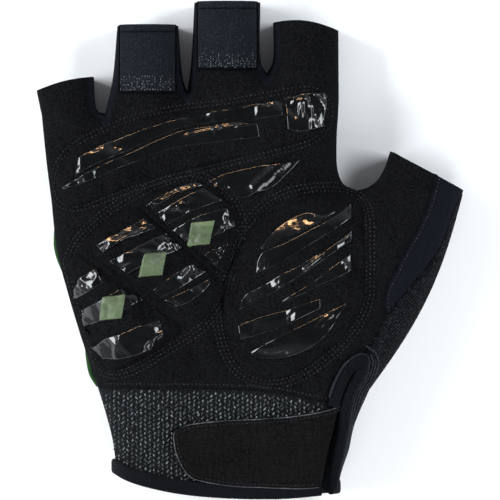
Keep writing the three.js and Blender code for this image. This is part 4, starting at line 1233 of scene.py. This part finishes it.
# Small folds of the printed film, which catch the light: ends, height and half width
FILM_FOLDS = [
    ((18.5, -6.4), (33.3, 5.4), 0.5, 0.6), ((20.5, -9.6), (28, -5), 0.3, 0.5),
    ((-21.9, 38.8), (-10.4, 41.4), 0.45, 0.6), ((-10.4, 41.4), (1.9, 43.1), 0.5, 0.6),
    ((-63.4, 21.8), (-48, 30.4), 0.35, 0.6), ((1.6, 21.2), (13.6, 31.8), 1.4, 2.2),
    ((-25.4, 14.2), (-22.6, 16), 0.3, 0.45), ((-26, -5.4), (-23.4, -8.4), 0.3, 0.45),
    ((24.3, 41), (25.3, 49.5), 1.2, 4.5), ((16, 44), (17.5, 49), 0.2, 0.5),
    ((-55.9, -2.7), (-60.4, -13.6), 0.9, 4), ((-56.6, -27.2), (-51.5, -37.4), 0.9, 4),
    ((-1, -37.2), (18, -37.2), 0.6, 3.2),
]

# Swells near the left ends of the heel's bands: place, height, half widths left and right
FILM_SWELLS = [
    ((-46.6, 0.3), 0.9, 2.3, 9), ((-41.6, -5.8), 0.9, 2.3, 8), ((-43.6, -32.5), 0.5, 2.4, 9),
    ((-51.5, -10), 0.3, 2, 6),
]


def film_folds(xy):
    """Sum of the film's folds, each a bell curve of the distance from its line, its height
    rippled along the line, and of its swells, each steep to the left and long to the right."""
    total = np.zeros(len(xy))
    for start, stop, height, width in FILM_FOLDS:
        d, _, share = nearest(xy, np.array([start]), np.array([stop]))
        span = np.hypot(stop[0] - start[0], stop[1] - start[1])
        turns = 2 * np.pi * share * span
        ripple = 0.035 * np.sin(turns / 2.3) + 0.016 * np.sin(turns / 0.9)
        total += (height + ripple) * bell(d, width)
    for place, height, left, right in FILM_SWELLS:
        off = xy - place
        across = bell(off[:, 0], np.where(off[:, 0] < 0, left, right))
        total += height * across * gate(6.5 - abs(off[:, 1]), 0, 2.5)
    return total


def printed(cell, at, across, rim, thickness, crinkled):
    """A printed layer: places of a pad raised along its normals, rounded down at the rim."""
    place, normal = on_cell(cell, at, across)
    flat = place[..., :2].reshape(-1, 2)
    crinkle = (waves(flat, small_waves) * crinkled + film_folds(flat)).reshape(rim.shape)
    raised = thickness * arch(rim) + crinkle * gate(rim, 0, 1.5)
    outer = (place + normal * (raised - 0.05)[..., None]).reshape(-1, 3)
    inner = (place - normal * FILM_SUNK).reshape(-1, 3)
    return walled(outer, inner, grid_faces(*rim.shape))


def between(low, high, ss):
    """A grid of lines from one line to another, at shares of the way."""
    return low[None] * (1 - ss[:, None, None]) + high[None] * ss[:, None, None]


def together(bodies):
    """Several bodies in one mesh."""
    count = np.cumsum([0] + [len(points) for points, _ in bodies])
    return np.vstack([b[0] for b in bodies]), np.vstack([b[1] + n for b, n in zip(bodies, count)])


for name, (cell, bands) in STRIPES.items():
    n, m = 200, 34
    ts, ss = rounded(n), rounded(m)
    frame_of = CELLS[cell][0] if cell else LENS
    size = np.array([frame_of["length"], frame_of["width"]])
    bodies = []
    for low, high in bands:
        both = between(smooth(low, ts), smooth(high, ts), ss)
        rim = off_line(both.reshape(-1, 2) * size, border(both) * size).reshape(m + 1, n + 1)
        at, across = both[..., 0], both[..., 1]
        bodies.append(printed(cell, at, across, rim / FILM_RIM, FILM_THICKNESS, 0.05))
    put(name + "_print", *together(bodies), gloss_black, "gloss_print", [name])

for name, (cell, (u, v)) in LOZENGES.items():
    n = 24
    s, t = np.meshgrid(2 * rounded(n) - 1, 2 * rounded(n) - 1)
    pad = CELLS[cell][0]
    at = u + (s - t) / 2 * MARK_LENGTH / 2 / pad["length"]
    across = v + (s + t) / 2 * MARK_WIDTH / 2 / pad["width"]
    rim = np.minimum(1 - abs(s), 1 - abs(t)) * 4 / LOZENGE_RIM
    lozenge = printed(cell, at, across, rim, LOZENGE_THICKNESS, 0.1)
    put(name + "_print", *lozenge, olive, "olive_print", [name])

# Tape round the cuff's edge: a rounded bar carried round the wrist's open edge, from one side
# of the slit to the other
edge = smooth(cuff_edge, rounded(160))
on_side = np.zeros(161, bool)
on_side[[0, -1]] = True
upper = np.column_stack([edge, top_height(edge, on_side)])
lower = np.column_stack([edge, back_height(edge, on_side)])
gap_x = slit_line[:, 0][np.argmin(abs(slit_line[:, 1] - edge[-1, 1]))]
right_of = upper[upper[:, 0] > gap_x + SLIT_WIDTH / 2 - 0.2]
left_of = upper[upper[:, 0] < gap_x - SLIT_WIDTH / 2 + 0.2]
loop = np.vstack([right_of, lower[-2:0:-1], left_of])
loop = at_shares(loop, even(420))
along = unit(np.gradient(loop, axis=0))
inward = unit(np.array([0, 1.0, 0]) - along * along[:, 1:2])
outward = np.cross(inward, along)
seen = (outward[:, 2] > 0.5) & (loop[:, 0] < gap_x - 2)
mid = (HEM_WIDTH - 0.5) / 2
profile = oval(WALL / 2 + 0.3, (HEM_WIDTH + 0.5) / 2, 24, 0.55)
tape_centre = loop - outward * WALL / 2 + inward * mid
tape_row = (tape_centre + outward * (WALL / 2 + 0.28) + inward * 1.1)[seen]
tape_row_normals = outward[seen]
body, body_faces = swept(tape_centre, -outward, inward, profile)
body[:, 2] = np.maximum(body[:, 2], 0.02)
put("cuff_tape", body, body_faces, tape, "tape", ["cuff_binding"])

# Tape round the slit
head = slit_line[0]
reach = SLIT_WIDTH / 2 + 0.2 * SLIT_TAPE_RADIUS
right_hand = sideways(slit_line)
inner_run = slit_line + reach * right_hand
outer_run = slit_line - reach * right_hand
inner_run = inner_run[head[1] - inner_run[:, 1] < SLIT_TAPE_FALL]
outer_run = outer_run[outer_run[:, 1] > edge[-1, 1] - 0.6]
head_way = unit(head - slit_line[1])
run = np.vstack([inner_run[3::4][::-1], head + 0.55 * SLIT_WIDTH * head_way, outer_run[3::4]])
run = smooth(run, even(260))
middle_share = 0.255
leaf = at_shares(run, np.linspace(0, middle_share + 0.03, 120))
bodies = [tube(above(leaf, 0.75), oval(2.0, 1.0, 24, 0.6))]
# the rounded tape that runs down from the slit's head, ribbed across
limb = at_shares(run, np.linspace(middle_share - 0.035, 1, 700))
limb_path = above(limb, 1.45)
side, up = frames(limb_path)
ribs = 1 + 0.035 * np.sin(lengths(limb) * 2 * np.pi / 0.85)[:, None]
start_size = np.minimum(1, 0.35 + lengths(limb) / 2.5)[:, None]
ribbed = (side * ribs * start_size, up * ribs * start_size)
bodies.append(swept(limb_path, *ribbed, oval(2.05, 1.7, 24, 0.85)))
put("slit_tape", *together(bodies), tape, "tape", ["slit_binding"])

# Folded edges of the cloth: one bent round the slit's head, four beside the tape. The folds are
# real; their lighter cloth is painted highlight along the edges
bodies = []
room = side_distance(run) - 2.1
for share, start, stop, radius, lift in (
    (0, 0.04, 0.45, 0.4, 1.1), (0.08, 0.42, 1, 0.36, 1.5), (0.34, 0.36, 1, 0.36, 1.1),
    (0.62, 0.4, 1, 0.36, 0.7), (0.92, 0.34, 1, 0.36, 0.3),
):
    offset = 2.1 + share * np.clip(room, 0, 3.2)
    beside = run - offset[:, None] * sideways(run)
    beside = at_shares(beside, np.linspace(start, stop, 240))
    bodies.append(tube(above(beside, lift), oval(radius, radius, 10)))
put("slit_edges", *together(bodies), tape_edge_highlight, "tape")

# Strap
n, m = 170, 80
ts, ss = rounded(n), rounded(m)
corner = spot(*STRAP_AT)
low_line = smooth(np.array(STRAP_LOW) * STRAP_SIZE, ts) + corner
high_line = smooth(np.array(STRAP_HIGH) * STRAP_SIZE, ts) + corner
xy = between(low_line, high_line, ss)
flat = xy.reshape(-1, 2)
d = off_line(flat, border(xy))
lines = np.sin(flat[:, 0] * 2 * np.pi / 1.7 + 2.5 * np.sin(flat[:, 1] / 5)) * 0.07
lines += np.sin(flat[:, 0] * 2 * np.pi / 3.1 + flat[:, 1] / 7) * 0.09
z = level(flat) + 0.75 + 1.35 * arch(d / 0.8) + lines * gate(d, 1, 4) - 0.25 * bell(d - 2.2, 0.5)
z += waves(flat, soft_waves) * 0.3
top = np.column_stack([flat, z]).reshape(m + 1, n + 1, 3)
put("strap_band", *closed_sheet(top, STRAP_WALL), strap_cloth, "strap", ["wrist_strap"])
strap_rim = np.vstack([high_line[::-1][:-8], low_line[1:]])
rim_line = at_shares(strap_rim, even(500))
rim_line = rim_line - 0.45 * sideways(rim_line)
put("strap_edge", *tube(above(rim_line, 1.75), oval(0.24, 0.24, 10)), light_thread, "strap")

# Woven tabs at the ends of the ring and middle fingers
tab_rows = []
for index, width, long, node_name in (
    (1, 19.4, 22.7, "ring_pull_tab"), (2, 20.6, 22.7, "middle_pull_tab"),
):
    middle = tips[index].mean(0)
    xs = middle[0] + width * (even(100) - 0.5)
    ys = middle[1] + 0.3 - (long + 0.5) * (1 - even(120))
    gx, gy = np.meshgrid(xs, ys)
    flat = np.column_stack([gx.ravel(), gy.ravel()])
    to_ends = np.minimum(flat[:, 1] - ys[0], ys[-1] - flat[:, 1])
    d = np.minimum(width / 2 - abs(flat[:, 0] - middle[0]), to_ends)
    half_rows = np.floor(flat[:, 1] / TAB_PITCH * 2)
    turns = flat * 2 * np.pi / TAB_PITCH
    yarn = np.sin(turns[:, 0] + np.pi * half_rows) * np.sin(turns[:, 1])
    z = level(flat) + 0.3 + 1.2 * arch(d / 0.9) + 0.11 * yarn * gate(d, 0.2, 1.2)
    z += waves(flat, soft_waves) * 0.2 - 0.35 * bell(flat[:, 1] - (ys[-1] - 2.6), 0.45)
    top = np.column_stack([flat, z]).reshape(121, 101, 3)
    name = node_name.replace("pull_tab", "tab_webbing")
    put(name, *closed_sheet(top, TAB_WALL), webbing, "webbing", [node_name])
    tab_rows.append((middle[0], width, ys[0], ys[-1]))

# Piping down the little finger's side
PIPING = [
    (0.55, 0.55, 0), (0.5, 0.8, 0), (0.42, 0.5, 0), (0.33, 0.5, 0), (0.28, 0.75, 0.2),
    (0.25, 0.85, 0.5), (0.227, 0.7, 0.1),
]
rows = []
for along_share, height, out in PIPING:
    y = (along_share - 0.5) * GLOVE_LENGTH
    x = np.interp(y, little_line[:, 1], little_line[:, 0])
    top, radius = form(np.array([[x, y]]))
    middle = SIDE_SHARE * top[0]
    drop = middle * (1 - height) / (middle + CRUSH)
    rows.append((x + radius[0] * (1 - np.sqrt(1 - drop**2)) - out - 0.35, y, middle * height))
piping = tube(smooth(rows, even(160)), oval(0.85, 0.85, 14))
put("green_edge", *piping, green, "green_piping", ["side_piping"])


# Stitches and loops: short rounded bars, all with the same faces
def bar(stations, girth, tip):
    """A bar along X: rings of six points with their size from a table, between two tips."""
    turn = np.arange(6) / 6 * 2 * np.pi
    round_it = (-np.outer(girth, np.cos(turn)).ravel(), np.outer(girth, np.sin(turn)).ravel())
    rings = np.stack([np.repeat(stations, 6), *round_it], 1)
    return np.vstack([rings, [[-tip, 0, 0], [tip, 0, 0]]]), ring_faces(len(stations), 6)


STITCH = bar((-0.5, -0.36, 0, 0.36, 0.5), (0.35, 0.9, 1, 0.9, 0.35), 0.55)
LOOP = bar((-0.5, -0.3, 0.3, 0.5), (0.45, 1, 1, 0.45), 0.58)


def put_bars(name, shape, centre, ways, normals, long, thick, lift, bend, finish, slot):
    """Copies of a bar along their own ways, lifted, and bent down at their ends by the square
    of the place along them."""
    local, faces = shape
    x_way = unit(ways)
    y_way = unit(np.cross(normals, x_way))
    z_way = np.cross(x_way, y_way)
    x = local[:, 0] * np.reshape(long, (-1, 1))
    y = local[:, 1] * thick
    z = local[:, 2] * thick + lift - bend * (2 * local[:, 0]) ** 2
    placed = (
        centre[:, None] + x[..., None] * x_way[:, None]
        + y[:, None] * y_way[:, None] + z[:, None] * z_way[:, None]
    )
    steps = (np.arange(len(centre)) * len(local))[:, None, None]
    return put(name, placed.reshape(-1, 3), (faces[None] + steps).reshape(-1, 3), finish, slot)


def stitches(
    name, lines, pitch=1.35, thick=0.26, share=0.72, lift=0.06, finish=thread, slot="suede"
):
    """Stitches laid along lines of places with normals, whose ends dip into the cloth."""
    centres, ways, upright = [], [], []
    half = 0.5 * share * pitch
    for line, normals in lines:
        run = lengths(line)
        number = max(2, int(run[-1] / pitch))
        mids = (np.arange(number) + 0.5) / number * run[-1]
        centres.append(read(line, run, mids))
        ways.append(read(line, run, mids + half) - read(line, run, mids - half))
        upright.append(read(normals, run, mids))
    placed = (np.vstack(centres), np.vstack(ways), np.vstack(upright))
    return put_bars(name, STITCH, *placed, pitch * share, thick, lift, 0.9 * thick, finish, slot)


def on_palm(line):
    """A plan line laid on the palm's cloth, with its normals."""
    z = top_height(line)
    step = 0.4
    dx = (top_height(line + [step, 0]) - top_height(line - [step, 0])) / (2 * step)
    dy = (top_height(line + [0, step]) - top_height(line - [0, step])) / (2 * step)
    return np.column_stack([line, z]), unit(np.stack([-dx, -dy, np.ones(len(line))], 1))


outline = np.vstack([
    little_line, *[run for i in range(4) for run in (finger_left[i], finger_right[i][::-1])],
    smooth(index_side, even(40))[::-1], thumb_inner(even(40)), thumb_outer(even(40))[::-1],
    smooth(wrist_side, even(40))[::-1], smooth(cuff_edge, even(40))[::-1],
])


def within(line, margin=2.2):
    """The stretch of a line that lies inside the outline by a margin: a place is inside where
    a ray from it crosses the outline an odd number of times."""
    a, b = outline, np.roll(outline, -1, axis=0)
    x, y = line[:, :1], line[:, 1:2]
    spans = (a[:, 1] > y) != (b[:, 1] > y)
    drop = np.where(abs(b[:, 1] - a[:, 1]) < 1e-9, 1e-9, b[:, 1] - a[:, 1])
    crossings = (spans & (x < a[:, 0] + (y - a[:, 1]) * (b[:, 0] - a[:, 0]) / drop)).sum(1)
    return line[(crossings % 2 == 1) & (side_distance(line[:, :2]) > margin)]


pad_lines = [on_palm(within(line, 1.2)) for line, _ in pad_rows]
stitches("pad_stitches", pad_lines, pitch=1.45, thick=0.3, share=0.6, lift=0.1)
stitches("seam_stitches", [on_palm(within(line)) for line, _ in seam_rows])

strap_row = at_shares(strap_rim, even(300))
strap_row = strap_row - 1.5 * sideways(strap_row)
strap_lines = [(above(strap_row, 2.05), on_palm(strap_row)[1])]
stitches("strap_stitches", strap_lines, pitch=1.5, thick=0.2, share=0.7, lift=0.05, slot="strap")


def loops(name, ends, thick, lift, finish, slot, ground=top_height):
    """Loops of yarn above a ground height, each from one end to the other."""
    low = np.column_stack([ends[:, 0], ground(ends[:, 0]) + lift])
    high = np.column_stack([ends[:, 1], ground(ends[:, 1]) + lift])
    long = np.linalg.norm(high - low, axis=1)
    placed = ((low + high) / 2, high - low, on_palm(ends.mean(1))[1])
    return put_bars(name, LOOP, *placed, long, thick, 0, 0, finish, slot)


# Stitched line near each tab's end, dark tubes along its sides and lower end as painted shade of its
# edges, and light loops woven into its lower part
hole_lines, shade_bodies, tab_loops = [], [], []
for x, width, low_y, high_y in tab_rows:
    xs = np.linspace(x - width / 2 + 0.8, x + width / 2 - 0.8, 60)
    hole_line = np.column_stack([xs, np.full(60, high_y - 2.6)])
    hole_lines.append((above(hole_line, 1.3), np.tile([0, 0, 1.0], (60, 1))))
    # Painted shade: a dark tube round the tab's sides and lower end stands in for the shadow along
    # its edges
    corners = [
        (x - width / 2 + 0.1, high_y - 0.4), (x - width / 2 + 0.1, low_y + 0.1),
        (x + width / 2 - 0.1, low_y + 0.1), (x + width / 2 - 0.1, high_y - 0.4),
    ]
    shade_line = at_shares(np.array(corners), even(240))
    shade_bodies.append(tube(above(shade_line, 1.05), oval(0.42, 0.5, 12)))
    loop_xs = np.linspace(x - width / 2 + 0.9, x + width / 2 - 0.9, 21)
    gx, gy = np.meshgrid(loop_xs, low_y + 0.9 + 0.88 * np.arange(6))
    centre = np.column_stack([gx.ravel(), gy.ravel()])
    centre = centre + rng.normal(0, 0.16, centre.shape)
    centre = centre[rng.random(len(centre)) > 0.16 + 0.1 * (centre[:, 1] - low_y)]
    turn = rng.normal(1.2, 0.5, len(centre))
    half = 0.27 * np.stack([np.cos(turn), np.sin(turn)], 1)
    tab_loops.append(np.stack([centre - half, centre + half], 1))
stitches(
    "tab_end_stitches", hole_lines, pitch=1.15, thick=0.3, share=0.62, lift=0.1, finish=dark_thread_and_shade,
    slot="webbing",
)
# Painted shade: dark tubes along the tabs' edges
put("tab_edge_painted_shade", *together(shade_bodies), dark_thread_and_shade, "webbing")
loops("tab_loops", np.vstack(tab_loops), 0.19, 1.5, light_thread, "webbing", level)

# Knit of the cuff: upright columns of leaning loops
gx, gy = np.meshgrid(np.arange(-52, 36, KNIT_PITCH), np.arange(-84, -44, KNIT_PITCH))
number = np.indices(gx.shape)[1]
gy = gy + KNIT_PITCH / 2 * (number % 2)
spots = np.column_stack([gx.ravel(), gy.ravel()])
spots = spots + rng.normal(0, 0.13, spots.shape)
lean = np.where(number.ravel() % 2 == 0, 0.26, -0.1) + rng.normal(0, 0.12, len(spots))
below_seam = spots[:, 1] < np.interp(spots[:, 0], cuff_line[:, 0], cuff_line[:, 1]) - 0.9
hem_y = np.interp(spots[:, 0], cuff_edge[:, 0], cuff_edge[:, 1]) + HEM_WIDTH - 0.4
keep = below_seam & (spots[:, 1] > hem_y) & (slit_value(spots) < -3.4)
spots, lean = spots[keep], lean[keep]
inside = within(np.column_stack([spots, lean]), 0.15)
half = np.stack([inside[:, 2], np.full(len(inside), 0.46)], 1)
knit_loops = np.stack([inside[:, :2] - half, inside[:, :2] + half], 1)
loops("cuff_knit_loops", knit_loops, 0.28, 0.1, knit, "knit")

# Stitches along the cuff's tape
tape_lines = [(tape_row, tape_row_normals)]
stitches("cuff_tape_stitches", tape_lines, pitch=1.7, thick=0.17, share=0.6, lift=0.04, slot="tape")

# Floor, light and camera
floor_mesh = bpy.data.meshes.new("floor")
corners = [(-1, -1), (1, -1), (1, 1), (-1, 1)]
places = [(x * FLOOR_REACH, y * FLOOR_REACH, -0.0002) for x, y in corners]
floor_mesh.from_pydata(places, [], [(0, 1, 2, 3)])
floor = bpy.data.objects.new("floor", floor_mesh)
bpy.context.scene.collection.objects.link(floor)
floor_material, node, shader, tree = new_material("pale_floor")
shader.inputs["Base Color"].default_value = (0.93, 0.93, 0.93, 1)
shader.inputs["Roughness"].default_value = 0.9
shader.inputs["Specular IOR Level"].default_value = 0.1
floor_mesh.materials.append(floor_material)

world = bpy.data.worlds.new("studio")
bpy.context.scene.world = world
world.use_nodes = True
sky = world.node_tree
background = sky.nodes["Background"]
way = sky.nodes.new("ShaderNodeTexCoord")
split = sky.nodes.new("ShaderNodeSeparateXYZ")
shade = sky.nodes.new("ShaderNodeValToRGB")
sky.links.new(way.outputs["Generated"], split.inputs["Vector"])
sky.links.new(split.outputs["Z"], shade.inputs["Fac"])
sky.links.new(shade.outputs["Color"], background.inputs["Color"])
shade.color_ramp.elements[0].position = 0.25
shade.color_ramp.elements[0].color = (0.9, 0.93, 1, 1)
shade.color_ramp.elements[1].position = 0.85
shade.color_ramp.elements[1].color = (0.13, 0.135, 0.14, 1)
background.inputs["Strength"].default_value = 0.8


def softbox(name, place, size, power, colour):
    """A rectangular light that faces the middle of the glove."""
    lamp = bpy.data.lights.new(name, "AREA")
    lamp.shape = "RECTANGLE"
    lamp.size, lamp.size_y = size
    lamp.energy = power
    lamp.color = colour
    thing = bpy.data.objects.new(name, lamp)
    bpy.context.scene.collection.objects.link(thing)
    back = unit(np.array(place, float))
    side = unit(np.cross([0, 1.0, 0.0], back))
    up = np.cross(back, side)
    matrix = np.eye(4)
    matrix[:3, 0], matrix[:3, 1], matrix[:3, 2], matrix[:3, 3] = side, up, back, place
    thing.matrix_world = Matrix(matrix.tolist())
    return thing


softbox("left", (-1.3, 0.2, 0.8), (0.5, 1.1), 34, (0.93, 0.97, 1))
softbox("right", (1.2, 0.3, 1.0), (0.4, 1.0), 20, (0.9, 0.96, 1))
low_light = softbox("low", (0.1, -1.25, 0.75), (1.5, 0.6), 15, (1, 0.99, 0.97))
low_light.visible_glossy = False
edge_light = softbox("edge", (0.1, -1.3, 0.45), (1.3, 0.09), 2.2, (1, 0.99, 0.97))
edge_light.visible_diffuse = False
warm = softbox("warm", (-0.5, 1.3, 0.66), (0.9, 0.14), 16, (1, 0.58, 0.28))
warm.visible_diffuse = False
corner_light = softbox("corner", (0.95, -1.0, 0.95), (0.36, 0.5), 4, (0.92, 0.96, 1))
corner_light.visible_diffuse = False

camera_data = bpy.data.cameras.new("camera")
camera = bpy.data.objects.new("camera", camera_data)
bpy.context.scene.collection.objects.link(camera)
bpy.context.scene.camera = camera
camera.location = (0.0, 0.0, 0.018 + CAMERA_HEIGHT)
camera_data.sensor_width = SENSOR_WIDTH
camera_data.lens = SENSOR_WIDTH * CAMERA_HEIGHT / VIEW_WIDTH
camera_data.clip_end = 20

bpy.context.scene.view_settings.view_transform = "Standard"
bpy.context.scene.view_settings.look = "None"
